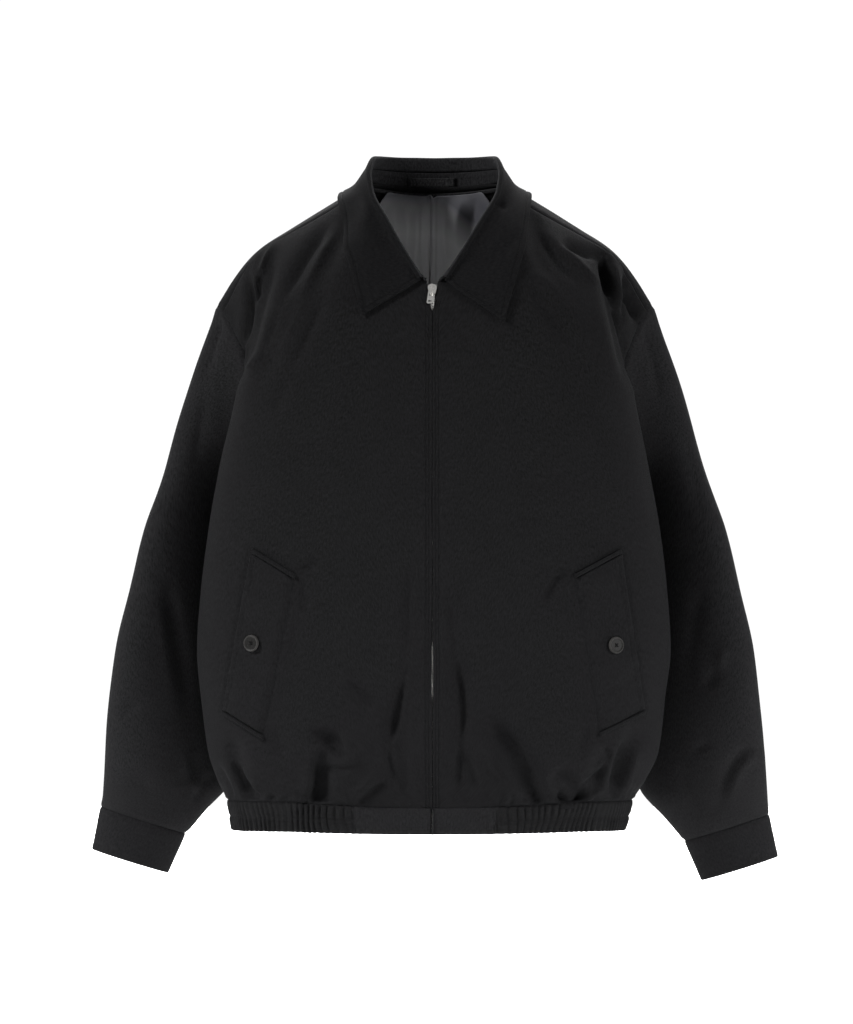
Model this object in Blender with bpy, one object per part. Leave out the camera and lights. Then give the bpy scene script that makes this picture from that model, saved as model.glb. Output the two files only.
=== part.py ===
"""A harrington jacket as a hollow, worn form: fronts, back, sleeves, cuffs, hem, collar, pockets and zip.

Sizes are in millimetres and are scaled to metres when a mesh is made. +X is the viewer's right, the front
faces -Y, +Z is up, and z = 0 is the height of the neck seam.
"""

import math

import bmesh
import bpy
import numpy as np
from mathutils import Matrix, Vector
from mathutils.bvhtree import BVHTree

MM = 0.001
LEFT, RIGHT = -1, 1
SIDE_NAMES = {LEFT: "left", RIGHT: "right"}

# Cloth
CLOTH = 1.6  # the shell's wall
BAND_CLOTH = 2.4  # cuffs and hem, folded double
COLLAR_CLOTH = 2.0
LINING_CLOTH = 1.0
SEAM_GAP = 0.5

# Centre front
ZIP_X = -3.0
FRONT_GAP = 0.7
SLIDER_GAP = 5.6
SLIDER_PART_TOP = -116.0
SLIDER_PART_LENGTH = 18.0

# The inside of the body, which its panels face away from.
BODY_CENTRE = (0.0, -20.0, -300.0)

# Torso: the widest line of each section lies at SIDE_Y; front and back are depths from it.
SIDE_Y = -40.0
CHEST_Z = -170.0
HEM_SEAM_Z = -651.0
HEM_SEAM_DIP = 5.5
HEM_DIP_START = -425.0
HEM_EDGE_Z = -683.0
HEM_EDGE_DIP = 2.0
HEM_DIP_REACH = 150.0
SIDE_SEAM = {"z": (-320, -500, -651, -684), "y": (38, 32, 20, 18)}
TORSO = {
    "z": (-170, -235, -300, -364, -428, -492, -546, -599, -630, -651, -684),
    "half_width": (205, 216.5, 229.5, 241, 248, 252, 246.5, 240, 228, 215.5, 208),
    "centre_x": (1, 0, -1, -1, -1, -1, -2, -2, -4, -5.5, -7),
    "front": (104, 109, 112, 114, 116, 118, 117, 113, 104, 95, 91),
    "back": (148, 150, 148, 144, 140, 136, 133, 129, 119, 108, 102),
    "front_power": (2.7, 2.6, 2.5, 2.4, 2.4, 2.4, 2.4, 2.4, 2.4, 2.4, 2.4),
    "back_power": (3.1, 3.0, 2.8, 2.4, 2.2, 2.1, 2.1, 2.1, 2.2, 2.3, 2.3),
}

# Shoulder crest, seen from the front.
CREST = {
    "x": (60, 90, 105, 132, 158, 183, 201, 214, 224, 236),
    "z": (15.5, -2, -11, -27, -43, -59, -75, -91, -107, -125),
}
CREST_Y = 12.0
CREST_SPREAD = 9.0
NECK_EDGE_ROW = 4.0
FRONT_ARCH_POWER = 1.55
BACK_ARCH_POWER = 1.75
FRONT_SEAM_REACH = 42.0
BACK_SEAM_REACH = 60.0
SHOULDER_SEAM = {"x": (70, 130, 190, 236), "forward": (36, 32, 26, 22)}
SEAM_PULL_FROM = 0.75
SEAM_DROP = {
    LEFT: {"x": (70, 130, 190, 236), "drop": (6.5, 5.5, 3, 2.5)},
    RIGHT: {"x": (70, 130, 190, 236), "drop": (10, 8.5, 4.5, 3)},
}

# Neckline, in plan an oval that sinks towards the front.
NECK_HALF_WIDTH = 74.0
NECK_BACK_Y = 66.0
NECK_BACK_Z = 2.0
NECK_SIDE_ANGLE = 109.0
NECK_FRONT_Y = -113.0
NECK_FRONT_Z = -100.0
NECK_FRONT_CURVE = 0.4

# Armhole and sleeve rings. "out" is the side away from the body and "in" the side next to it.
RING_COLUMNS = ("x_out", "y_out", "z_out", "x_in", "y_in", "z_in", "depth", "hollow")
SLEEVE_RINGS = (
    (234, 10, -124, 215.5, 38, -320, 50, 27),
    (243, 15, -150, 221, 54, -326, 46, 20),
    (257, 18, -190, 220, 68, -333, 44, 12),
    (273, 20, -240, 216, 82, -343, 44, 4),
    (290, 18, -300, 211, 92, -358, 46, 0),
    (312, 9, -364, 205, 99, -390, 49, 0),
    (327, 1, -428, 203, 97, -437, 49, 0),
    (341, -6, -492, 205, 89, -493, 46, 0),
    (349.5, -4, -556, 206, 77, -555, 42, 0),
    (353.5, -1, -605, 208, 68, -603, 38, 0),
    (356, 3, -640, 221, 54, -640, 33, 0),
    (357, 7, -655, 247, 42, -669, 28, 0),
    (358, 10, -664, 267.5, 34, -693.5, 25.5, 0),
)
CUFF_HEIGHT = 46.0
CUFF_EDGE = (368, 12, -709.5, 286.5, 33, -736, 24.5, 0)
SLEEVE_LIFT = {LEFT: 4.0, RIGHT: -4.0}
ARMHOLE_SEAM_ANGLE = -20.0
HOLLOW_POWER = 1.4
EVEN_RING = 4
LIFT_RING = 3

# Largest folds of each front, as troughs in the front view (a negative depth is a ridge).
FOLD_COLUMNS = ("x1", "z1", "x2", "z2", "width", "depth")
FOLDS = {
    LEFT: (
        (-178, -82, -207, -190, 9, 9),
        (-84, -20, -178, -190, 11, 5),
        (-118, -585, -122, -648, 11, 8),
        (-98, -588, -112, -592, 13, 7),
        (-38, -560, -30, -640, 12, 6),
        (-215, -590, -196, -646, 9, 6),
    ),
    RIGHT: (
        (181, -72, 205, -190, 9, 10),
        (104, -35, 150, -190, 12, 5),
        (60, -570, 96, -640, 12, 8),
        (22, -500, 26, -612, 11, 4),
        (128, -622, 150, -645, 10, 7),
        (178, -600, 170, -640, 10, 6),
        (214, -580, 192, -640, 10, 6),
    ),
}

# Collar
ROLL_LINE = {
    "x": (0, 30, 52, 62, 66.5, 64, 48, 31, 11.5),
    "y": (58, 54, 39, 10, -22, -48, -79, -102, -120.5),
    "z": (36, 36.5, 37, 34.5, 18, -2, -32, -62, -94),
}
LEAF_EDGE = {
    "x": (0, 45, 79, 98.5, 100.5, 97.5, 90.5, 82, 74),
    "y": (84, 76, 52, 20, -12, -46, -84, -112, -127),
    "z": (-24, -22, -16, -9, -14, -33, -71, -111, -145.5),
}
LEAF_LIFT = {LEFT: 3.7, RIGHT: -3.7}
COLLAR_SHIFT = -2.0
FRONT_PART_FROM = 0.4
STAND_SHARE = 0.55
STAND_GAP = 2.7
STAND_BEVEL = 1.8
LEAF_GAP = 0.3
ROLL_RADIUS = 3.3
ROLL_TURNS = (180, 135, 90, 45, 0)
FALL_ROW = 6
FALL_RISE = 0.13
FALL_REACH = 0.2
FALL_LAST = 0.62
LEAF_CLEARANCE = 4.5
LEAF_PASSES = 4
COLLAR_CENTRE = (0.0, -20.0, 10.0)
LEAF_CENTRE = (0.0, -20.0, -200.0)
LOOP_X = (-29.0, 22.0)
LOOP_Z = (6.3, 15.5)
LOOP_CLOTH = 1.2
LOOP_GAP = 0.4
LOOP_BOW = 2.2
LOOP_STATIONS = 9
NECK_TAPE_DROP = 1.0
NECK_TAPE_HEIGHT = 6.0
NECK_TAPE_INSET = 2
NECK_TAPE_IN = 2.4
NECK_TAPE_CLOTH = 0.8

# Lining
LINING_IN = 6.5
LINING_DROPS = (9.0, 9.0, 9.0, 18.0)
LINING_SHOULDER_DROP = 66.0
LINING_END = 12.0
LINING_ROWS = 7
LINING_ROW_POWER = 1.3

# Pockets, seen from the front: the four corners of each flap, free upper corner first.
FLAP_CORNERS = {
    LEFT: ((-192.6, -383), (-146.6, -411), (-180.8, -585), (-224.0, -558.5)),
    RIGHT: ((194.8, -384), (146.6, -410), (173.3, -581), (220.5, -557.5)),
}
FLAP_CLOTH = 1.8
FLAP_LIFT = 1.0
FLAP_COLUMNS = 5
FLAP_ROWS = 8
FLAP_PASSES = 5
RIDGE_WIDTH = 4.2
RIDGE_CLOTH = 3.2
BUTTON_AT = {LEFT: (-193.0, -483.0), RIGHT: (190.0, -485.0)}
BUTTON_RADIUS = 8.9
BUTTON_THICKNESS = 3.2
BUTTON_HOLE_RADIUS = 0.9
BUTTON_HOLE_RING = 1.9
BUTTON_SIDES = 20
BUTTON_HOLE_SIDES = 8
BUTTON_PROFILE = {
    "in_from_edge": (8.9, 0.7, 0, 0.3, 0.9, 1.6, 2.5, 8.9),
    "height": (0, 0, 0.9, 2.8, 3.2, 2.9, 2.4, 2.4),
}

# Hem band
PLAIN_BAND_X = {LEFT: -88.0, RIGHT: 66.0}
PLAIN_BAND_COLUMNS = 5
ELASTIC_HALF_COLUMNS = 15
BAND_SHARES = (0, 0.5, 1)

# Zip
TAPE_WIDTH = 13.0
TAPE_CLOTH = 0.8
CHAIN_HALF_WIDTH = 2.6
CHAIN_THICKNESS = 1.8
TEETH_TOP_Z = -109.0
TAPE_TOP_Z = -101.5
ZIP_BOTTOM_Z = -682.0
SLIDER_TOP_Z = -103.0
SLIDER_LENGTH = 12.0
SLIDER_OUTLINE = {
    "down": (-6, -5.3, -3.8, -1, 1.6, 4, 6),
    "half_width": (2.2, 3.6, 4.6, 4.75, 4.2, 3.7, 3.5),
}
SLIDER_FACE = 2.9
SLIDER_BACK = 1.2
SLIDER_THROAT = 3.2
BRIDGE_DOWN = (-5.8, -2.9)
BRIDGE_HALF_WIDTH = 1.8
PLATE_OVERLAP = 0.5
ZIP_DEPTH = 3.3
TEETH_GAP = 0.15
BAIL_LENGTH = 9.6
BAIL_WIDTH = 1.5
BAIL_RISE = 2.9
BAIL_BAR = 1.1
BAIL_OVERLAP = 0.05
TAB_LENGTH = 23.4
TAB_HALF_WIDTH = 3.4
TAB_CORNER = 1.0
TAB_THICKNESS = 1.1
TAB_WINDOW_HALF_WIDTH = 1.8
TAB_WINDOW = (1.3, 13.4)
TAB_PIVOT = 0.65
TAB_TOP = -3.4
TAB_LIFT = 0.4
TAB_SLOT = (19.4, 21.2)
TAB_SLOT_HALF_WIDTH = 1.9
TAB_TILT = 7.0

# How a piece is laid on another: the inside it is moved away from, and what counts as past the other's edge.
CORE_NARROWING = 0.2
CORE_DROP = 150.0
SQUARE_TO_FACE = 0.8
PUSH_SHARE = 0.4
RAY_START_Y = -400.0

# Points of the curves that rows and columns are spaced along
ROW_POINTS = 400
ARCH_POINTS = 60
CREST_POINTS = 14
SEAM_POINTS = 40
EDGE_POINTS = 200

# Grid sizes
NECK_SHARE = 0.27
SHOULDER_COLUMN_POWER = 0.9
FRONT_NECK_COLUMNS = 6
BACK_NECK_COLUMNS = 4
SHOULDER_COLUMNS = 8
FRONT_UPPER_ROWS = 5
FRONT_ARMHOLE_ROWS = 5
BACK_UPPER_ROWS = 7
BACK_ARMHOLE_ROWS = 4
BODY_ROWS = 9
COLLAR_STATIONS = 13
LEAF_ROWS = 5


def clear_scene():
    for thing in list(bpy.data.objects):
        bpy.data.objects.remove(thing, do_unlink=True)


def through(at, known, values):
    """A smooth curve through a table's values that never overshoots them."""
    known = np.asarray(known, float)
    values = np.asarray(values, float)
    if known[0] > known[-1]:
        known, values = known[::-1], values[::-1]
    at = np.clip(at, known[0], known[-1])
    step = np.diff(known)
    slope = np.diff(values) / step
    both = slope[:-1] * slope[1:] > 0
    total = np.where(both, slope[:-1] + slope[1:], 1.0)
    inner = np.where(both, 2 * slope[:-1] * slope[1:] / total, 0.0)
    slopes = np.concatenate([slope[:1], inner, slope[-1:]])
    cell = np.clip(np.searchsorted(known, at, side="right") - 1, 0, len(step) - 1)
    t = (at - known[cell]) / step[cell]
    rise = (3 - 2 * t) * t * t
    start = t * (1 - t) ** 2 * step[cell] * slopes[cell]
    end = t * t * (t - 1) * step[cell] * slopes[cell + 1]
    return values[cell] * (1 - rise) + values[cell + 1] * rise + start + end


def unit(vectors):
    return vectors / np.maximum(np.linalg.norm(vectors, axis=-1, keepdims=True), 1e-9)


def ease(t):
    t = np.clip(t, 0.0, 1.0)
    return t * t * (3 - 2 * t)


def resample(points, fractions):
    """Points at the given fractions of a polyline's length."""
    points = np.asarray(points, float)
    steps = np.linalg.norm(np.diff(points, axis=0), axis=1)
    length = np.concatenate([[0.0], np.cumsum(steps)])
    at = np.asarray(fractions) * length[-1]
    return np.stack([np.interp(at, length, points[:, k]) for k in range(3)], axis=1)


def torso_at(name, z):
    return through(z, TORSO["z"], TORSO[name])


def torso_point(angle, z, side):
    """A point of the torso's section at z: 0 degrees is the front, 90 the side and 180 the back."""
    turn = np.radians(angle)
    ahead = np.cos(turn) >= 0
    power = np.where(ahead, torso_at("front_power", z), torso_at("back_power", z))
    depth = np.where(ahead, torso_at("front", z), torso_at("back", z))
    x = torso_at("centre_x", z) + side * torso_at("half_width", z) * np.abs(np.sin(turn)) ** (2 / power)
    y = SIDE_Y - np.sign(np.cos(turn)) * depth * np.abs(np.cos(turn)) ** (2 / power)
    return np.stack([x, y, np.broadcast_to(z, x.shape)], axis=-1)


def crest_z(x):
    return through(np.abs(x), CREST["x"], CREST["z"])


def ring_point(row, angle, side):
    """A point of a sleeve ring: 0 degrees is its outer side, 90 its back, 180 the underarm, 270 its front."""
    ring = dict(zip(RING_COLUMNS, row))
    turn = np.radians(angle)
    outer = np.array([ring["x_out"], ring["y_out"], ring["z_out"]], float)
    inner = np.array([ring["x_in"], ring["y_in"], ring["z_in"]], float)
    middle, reach = (outer + inner) / 2, (outer - inner) / 2
    point = middle + np.multiply.outer(np.cos(turn), reach)
    point[..., 1] += ring["depth"] * np.sin(turn)
    point[..., 0] -= ring["hollow"] * np.abs(np.sin(turn)) ** HOLLOW_POWER
    point[..., 0] *= side
    return point


def armhole_angles(upper, arm, ahead):
    """Ring angles of a panel's rows down its armhole, from the shoulder seam to the underarm."""
    top, bottom = SLEEVE_RINGS[0][2], SLEEVE_RINGS[0][5]
    chest = math.degrees(math.acos((CHEST_Z - (top + bottom) / 2) / ((top - bottom) / 2)))
    turn = -1 if ahead else 1
    first = np.linspace(ARMHOLE_SEAM_ANGLE, turn * chest, upper + 1)
    return np.concatenate([first, np.linspace(turn * chest, turn * 180.0, arm + 1)[1:]])


def shoulder_seam(fraction, side):
    """The shoulder seam, from the neck to the armhole."""
    start = neck_side_x()
    end = abs(ring_point(SLEEVE_RINGS[0], ARMHOLE_SEAM_ANGLE, side)[0])
    x = start + (end - start) * np.asarray(fraction, float)
    forward = through(x, SHOULDER_SEAM["x"], SHOULDER_SEAM["forward"])
    drop = through(x, SEAM_DROP[side]["x"], SEAM_DROP[side]["drop"])
    seam = np.stack([side * x, CREST_Y - forward, crest_z(x) - drop], axis=-1)
    meet = ring_point(SLEEVE_RINGS[0], ARMHOLE_SEAM_ANGLE, side)
    pull = ease((np.asarray(fraction) - SEAM_PULL_FROM) / (1 - SEAM_PULL_FROM))[..., None]
    return seam + pull * (meet - shoulder_end(side))


def shoulder_end(side):
    x = abs(ring_point(SLEEVE_RINGS[0], ARMHOLE_SEAM_ANGLE, side)[0])
    forward = through(x, SHOULDER_SEAM["x"], SHOULDER_SEAM["forward"])
    drop = through(x, SEAM_DROP[side]["x"], SEAM_DROP[side]["drop"])
    return np.array([side * x, CREST_Y - forward, crest_z(x) - drop])


def neck_side_x():
    return NECK_HALF_WIDTH * math.sin(math.radians(NECK_SIDE_ANGLE))


def back_neckline(fraction, side):
    """From centre back to the shoulder seam."""
    fraction = np.asarray(fraction, float)
    turn = np.radians(NECK_SIDE_ANGLE * fraction)
    x = NECK_HALF_WIDTH * np.sin(turn)
    end = shoulder_seam(0.0, side)
    cosine = np.cos(turn)
    last = math.cos(math.radians(NECK_SIDE_ANGLE))
    y = np.where(cosine > 0, NECK_BACK_Y * cosine, end[1] * cosine / last)
    crest = float(crest_z(NECK_HALF_WIDTH))
    behind = np.clip((y - CREST_Y) / (NECK_BACK_Y - CREST_Y), 0, 1)
    ahead = np.clip((CREST_Y - y) / (CREST_Y - end[1]), 0, 1)
    z = crest - (crest - NECK_BACK_Z) * behind**2 - (crest - end[2]) * ahead**2
    return np.stack([side * x, y, z], axis=-1)


def front_neckline(fraction, side):
    """From centre front to the shoulder seam."""
    turn = np.radians(90 * (1 - np.asarray(fraction, float)))
    start = np.array([ZIP_X + side * front_gap(NECK_FRONT_Z), NECK_FRONT_Y, NECK_FRONT_Z])
    end = shoulder_seam(0.0, side)
    straight = turn / (math.pi / 2)
    towards_start = straight + (np.sin(turn) - straight) * NECK_FRONT_CURVE
    towards_end = 1 - straight + (np.cos(turn) - 1 + straight) * NECK_FRONT_CURVE
    x = start[0] + (end[0] - start[0]) * towards_end
    y = end[1] + (start[1] - end[1]) * towards_start
    z = end[2] + (start[2] - end[2]) * towards_start
    return np.stack([x, y, z], axis=-1)


def front_gap(z):
    """Half the gap between the fronts: they part round the zip's slider."""
    part = ease((z - SLIDER_PART_TOP + SLIDER_PART_LENGTH) / SLIDER_PART_LENGTH)
    return FRONT_GAP + (SLIDER_GAP - FRONT_GAP) * part


def hem_seam_z(x):
    return HEM_SEAM_Z - HEM_SEAM_DIP * np.clip(1 - (np.abs(x) / HEM_DIP_REACH) ** 2, 0, 1)


def hem_edge_z(x):
    return HEM_EDGE_Z - HEM_EDGE_DIP * np.clip(1 - (np.abs(x) / HEM_DIP_REACH) ** 2, 0, 1)


def join_to_seam(row, seam_point, reach=FRONT_SEAM_REACH):
    """Ends a row of points on a seam, moving only what lies within reach of it."""
    steps = np.linalg.norm(np.diff(row, axis=0), axis=1)
    left = np.concatenate([np.cumsum(steps[::-1])[::-1], [0.0]])
    return row + ease(1 - left / reach)[:, None] * (seam_point - row[-1])


def section_end_angle(z, seam_y):
    """The section angle at which the torso is as far back as a seam point."""
    if seam_y <= SIDE_Y:
        return 90.0
    ratio = (seam_y - SIDE_Y) / torso_at("back", z)
    return 90.0 + math.degrees(math.asin(min(1.0, ratio ** (torso_at("back_power", z) / 2))))


def torso_row(z, side, fractions, ahead, seam=None):
    """One level of a front (zip to side) or of half the back (centre back to side), down to a seam point."""
    z = float(z)
    seam_y = through(z, SIDE_SEAM["z"], SIDE_SEAM["y"]) if seam is None else seam[1]
    end = section_end_angle(z, seam_y)
    start = 0.0
    if ahead:
        edge = side * (ZIP_X - torso_at("centre_x", z)) + front_gap(z)
        reach = max(0.0, edge / torso_at("half_width", z))
        start = math.degrees(math.asin(reach ** (torso_at("front_power", z) / 2)))
    else:
        start = 180.0
    angles = np.linspace(start, end, ROW_POINTS)
    dense = torso_point(angles, np.full(angles.shape, z), side)
    if ahead:
        dense[0, 0] = ZIP_X + side * front_gap(z)
    if seam is not None:
        dense = join_to_seam(dense, seam)
    return resample(dense, fractions)


def drop_curve(top, chest, power, count=ARCH_POINTS):
    """From a point on the shoulder or neckline down to the chest, along an arch from the crest line."""
    lean = max(0.0, (top[1] - CREST_Y) / (chest[1] - CREST_Y))
    turn = np.linspace(math.asin(lean ** (power / 2)), math.pi / 2, count)
    reach = np.sin(turn) ** (2 / power)
    height = np.maximum(np.cos(turn), 0.0) ** (2 / power)
    ahead = (reach - lean) / (1 - lean)
    down = 1 - height / height[0]
    x = top[0] + (chest[0] - top[0]) * down
    y = top[1] + (chest[1] - top[1]) * ahead
    z = top[2] + (chest[2] - top[2]) * down
    return np.stack([x, y, z], axis=1)


def over_crest(top, spread, side, count=CREST_POINTS):
    """From the shoulder seam up and back over the crest, a little wider there."""
    share = np.linspace(0, 1, count)
    x = abs(top[0]) + spread * share
    crest_height = crest_z(x[-1])
    y = top[1] + (CREST_Y - top[1]) * share
    return np.stack([side * x, y, crest_height - (crest_height - top[2]) * (1 - share) ** 2], axis=1)


def fold_depth(points, side):
    """How far the largest folds push each point of a front inwards."""
    depth = np.zeros(points.shape[:-1])
    for row in FOLDS[side]:
        fold = dict(zip(FOLD_COLUMNS, row))
        start = np.array([fold["x1"], fold["z1"]])
        along = np.array([fold["x2"], fold["z2"]]) - start
        length = np.linalg.norm(along)
        offset = points[..., [0, 2]] - start
        run = (offset @ along) / length**2
        across = (offset[..., 0] * along[1] - offset[..., 1] * along[0]) / length
        fade = ease((run + 0.25) / 0.4) * ease((1.25 - run) / 0.4)
        depth += fold["depth"] * np.exp(-((across / fold["width"]) ** 2)) * fade
    return depth


def normals_of(grid, closed=False):
    """Unit normals of a grid of points (rows, columns, 3)."""
    if closed:
        across = (np.roll(grid, -1, axis=1) - np.roll(grid, 1, axis=1)) / 2
    else:
        across = np.gradient(grid, axis=1)
    along = np.gradient(grid, axis=0)
    normal = np.cross(across, along)
    return normal / np.maximum(np.linalg.norm(normal, axis=-1, keepdims=True), 1e-9)


def column_fractions(neck, shoulder, neck_share):
    first = np.linspace(0, neck_share, neck + 1)
    rest = neck_share + (1 - neck_share) * (np.linspace(0, 1, shoulder + 1)[1:]) ** SHOULDER_COLUMN_POWER
    return np.concatenate([first, rest])


def body_levels(rows):
    return np.linspace(SLEEVE_RINGS[0][5], HEM_SEAM_Z, rows + 1)[1:]


def to_hem(grid):
    """Sinks the lower rows to the hem seam, which dips at centre front and centre back."""
    sink = ease((HEM_DIP_START - grid[..., 2]) / (HEM_DIP_START - HEM_SEAM_Z))
    grid[..., 2] += sink * (hem_seam_z(grid[..., 0]) - HEM_SEAM_Z)
    return grid


def front_grid(side, neck=FRONT_NECK_COLUMNS, shoulder=SHOULDER_COLUMNS, upper=FRONT_UPPER_ROWS,
               arm=FRONT_ARMHOLE_ROWS, rows=BODY_ROWS):
    """The outer surface of one front, rows from the top to the hem seam, columns from the zip to the side."""
    fractions = column_fractions(neck, shoulder, NECK_SHARE)
    seam = ring_point(SLEEVE_RINGS[0], armhole_angles(upper, arm, True), side)
    tops = [front_neckline(k / neck, side) for k in range(neck)]
    tops += [shoulder_seam(k / shoulder, side) for k in range(shoulder + 1)]
    chest = torso_row(CHEST_Z, side, fractions, True, seam[upper])
    columns = [drop_curve(top, chest[k], FRONT_ARCH_POWER) for k, top in enumerate(tops)]
    share = np.linspace(0, 1, upper + 1)
    yoke = np.stack([resample(column, share) for column in columns], axis=1)
    yoke[:, 0, 0] = ZIP_X + side * front_gap(yoke[:, 0, 2])
    for k in range(upper):
        yoke[k] = join_to_seam(yoke[k], seam[k])
    chest_rows = [torso_row(point[2], side, fractions, True, point) for point in seam[upper + 1:]]
    body = [torso_row(z, side, fractions, True) for z in body_levels(rows)]
    grid = to_hem(np.concatenate([yoke, np.stack(chest_rows + body)], axis=0))
    inward = normals_of(grid) * np.sign(normals_of(grid)[..., 1:2].mean())
    across = np.minimum(np.arange(grid.shape[1]), np.arange(grid.shape[1])[::-1]) / 1.5
    down = np.minimum(np.arange(grid.shape[0]) / 1.5, np.arange(grid.shape[0])[::-1])
    held = ease(across)[None, :] * ease(down)[:, None]
    return grid + inward * (fold_depth(grid, side) * held)[..., None]


def below_crest(column, first, rows):
    """A column's points: its top, one at the first distance down, and the rest even below that."""
    length = np.linalg.norm(np.diff(column, axis=0), axis=1).sum()
    return resample(column, np.concatenate([[0], np.linspace(first / length, 1, rows)]))


def back_half(side, neck, shoulder, upper, arm, rows):
    """Half of the back, from centre back to the side."""
    fractions = column_fractions(neck, shoulder, NECK_SHARE)
    seam = ring_point(SLEEVE_RINGS[0], armhole_angles(upper, arm, False), side)
    chest = torso_row(CHEST_Z, side, fractions, False, seam[upper])
    crest_share = math.degrees(math.acos(CREST_Y / NECK_BACK_Y)) / NECK_SIDE_ANGLE
    columns = []
    for k in range(neck):
        top = back_neckline(crest_share * k / (neck - 1), side)
        columns.append(below_crest(drop_curve(top, chest[k], BACK_ARCH_POWER), NECK_EDGE_ROW, upper))
    for k in range(shoulder + 1):
        top = shoulder_seam(k / shoulder, side)
        arch = over_crest(top, CREST_SPREAD * (1 - k / shoulder) ** 2, side)
        length = np.linalg.norm(np.diff(arch, axis=0), axis=1).sum()
        column = np.concatenate([arch, drop_curve(arch[-1], chest[neck + k], BACK_ARCH_POWER)[1:]])
        columns.append(below_crest(column, length, upper))
    yoke = np.stack(columns, axis=1)
    for k in range(upper):
        yoke[k] = join_to_seam(yoke[k], seam[k], BACK_SEAM_REACH)
    blade_rows = [torso_row(point[2], side, fractions, False, point) for point in seam[upper + 1:]]
    body = [torso_row(z, side, fractions, False) for z in body_levels(rows)]
    return to_hem(np.concatenate([yoke, np.stack(blade_rows + body)], axis=0))


def back_grid(neck=BACK_NECK_COLUMNS, shoulder=SHOULDER_COLUMNS, upper=BACK_UPPER_ROWS,
              arm=BACK_ARMHOLE_ROWS, rows=BODY_ROWS):
    """The outer surface of the back, rows from the top to the hem seam, columns from left to right."""
    left = back_half(LEFT, neck, shoulder, upper, arm, rows)
    right = back_half(RIGHT, neck, shoulder, upper, arm, rows)
    middle = (left[:, :1] + right[:, :1]) / 2
    return np.concatenate([left[:, :0:-1], middle, right[:, 1:]], axis=1)


def trimmed(grid, first_row=0.0, last_row=0.0, first_column=0.0, last_column=0.0):
    """A grid whose edges are drawn in, to leave a gap at its seams."""
    grid = grid.copy()
    grid[0] += unit(grid[1] - grid[0]) * first_row
    grid[-1] += unit(grid[-2] - grid[-1]) * last_row
    grid[:, 0] += unit(grid[:, 1] - grid[:, 0]) * first_column
    grid[:, -1] += unit(grid[:, -2] - grid[:, -1]) * last_column
    return grid


def sleeve_angles(front_upper=FRONT_UPPER_ROWS, front_arm=FRONT_ARMHOLE_ROWS,
                  back_upper=BACK_UPPER_ROWS, back_arm=BACK_ARMHOLE_ROWS):
    """Ring angles that meet the rows of the front and back at the armhole, and even ones further down."""
    back_side = armhole_angles(back_upper, back_arm, False)
    front_side = armhole_angles(front_upper, front_arm, True)
    met = np.concatenate([back_side, 360 + front_side[-2:0:-1]])
    even = ARMHOLE_SEAM_ANGLE + np.arange(len(met)) * 360.0 / len(met)
    return met, even


def sleeve_grid(side):
    """The outer surface of a sleeve, one closed ring of points for each row of its table."""
    lift = SLEEVE_LIFT[side]
    met, even = sleeve_angles()
    rings = []
    for k, row in enumerate(SLEEVE_RINGS):
        ring = ring_point(row, met + (even - met) * ease(k / EVEN_RING), side)
        ring[:, 2] += lift * ease((k - LIFT_RING) / (len(SLEEVE_RINGS) - 1 - LIFT_RING))
        rings.append(ring)
    rings[0] = rings[0] + unit(rings[1] - rings[0]) * SEAM_GAP
    return np.stack(rings)


def cuff_grid(side):
    _, even = sleeve_angles()
    top = ring_point(SLEEVE_RINGS[-1], even, side)
    edge = ring_point(CUFF_EDGE, even, side)
    grid = np.stack([top + (edge - top) * share for share in (2 * SEAM_GAP / CUFF_HEIGHT, 0.5, 1.0)])
    grid[..., 2] += SLEEVE_LIFT[side]
    return grid


def material(name, colour, roughness, metallic=0.0):
    made = bpy.data.materials.get(name) or bpy.data.materials.new(name)
    made.use_nodes = True
    shader = made.node_tree.nodes["Principled BSDF"]
    shader.inputs["Base Color"].default_value = (*colour, 1.0)
    shader.inputs["Roughness"].default_value = roughness
    shader.inputs["Metallic"].default_value = metallic
    return made


def finish_object(name, mesh, finish):
    body = bmesh.new()
    body.from_mesh(mesh)
    bmesh.ops.recalc_face_normals(body, faces=body.faces)
    body.to_mesh(mesh)
    body.free()
    mesh.materials.append(finish)
    mesh.shade_smooth()
    mesh.set_sharp_from_angle(angle=math.radians(50))
    made = bpy.data.objects.new(name, mesh)
    bpy.context.scene.collection.objects.link(made)
    return made


def wall(name, outer, inner, finish, closed=False):
    """A closed wall of cloth between two grids; each cell is cut by the same diagonal on both faces."""
    rows, columns = outer.shape[:2]
    points = np.concatenate([outer.reshape(-1, 3), inner.reshape(-1, 3)]) * MM
    half = rows * columns
    faces = []
    for r in range(rows - 1):
        for c in range(columns if closed else columns - 1):
            d = (c + 1) % columns
            a, b, e, f = r * columns + c, r * columns + d, (r + 1) * columns + d, (r + 1) * columns + c
            faces += [(a, b, e), (a, e, f), (a + half, e + half, b + half), (a + half, f + half, e + half)]
    rims = []
    for c in range(columns if closed else columns - 1):
        d = (c + 1) % columns
        rims.append((c, d))
        rims.append(((rows - 1) * columns + d, (rows - 1) * columns + c))
    if not closed:
        for r in range(rows - 1):
            rims.append(((r + 1) * columns, r * columns))
            rims.append((r * columns + columns - 1, (r + 1) * columns + columns - 1))
    faces += [(b, a, a + half, b + half) for a, b in rims]
    mesh = bpy.data.meshes.new(name)
    mesh.from_pydata([tuple(point) for point in points], [], faces)
    return finish_object(name, mesh, finish)


def outward(grid, centre=BODY_CENTRE):
    """Normals turned away from a point inside the garment."""
    normal = normals_of(grid)
    facing = ((grid - centre) * normal).sum(axis=-1).mean()
    return normal if facing > 0 else -normal


def surface_tree(grid):
    return joined_tree([grid])


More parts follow.
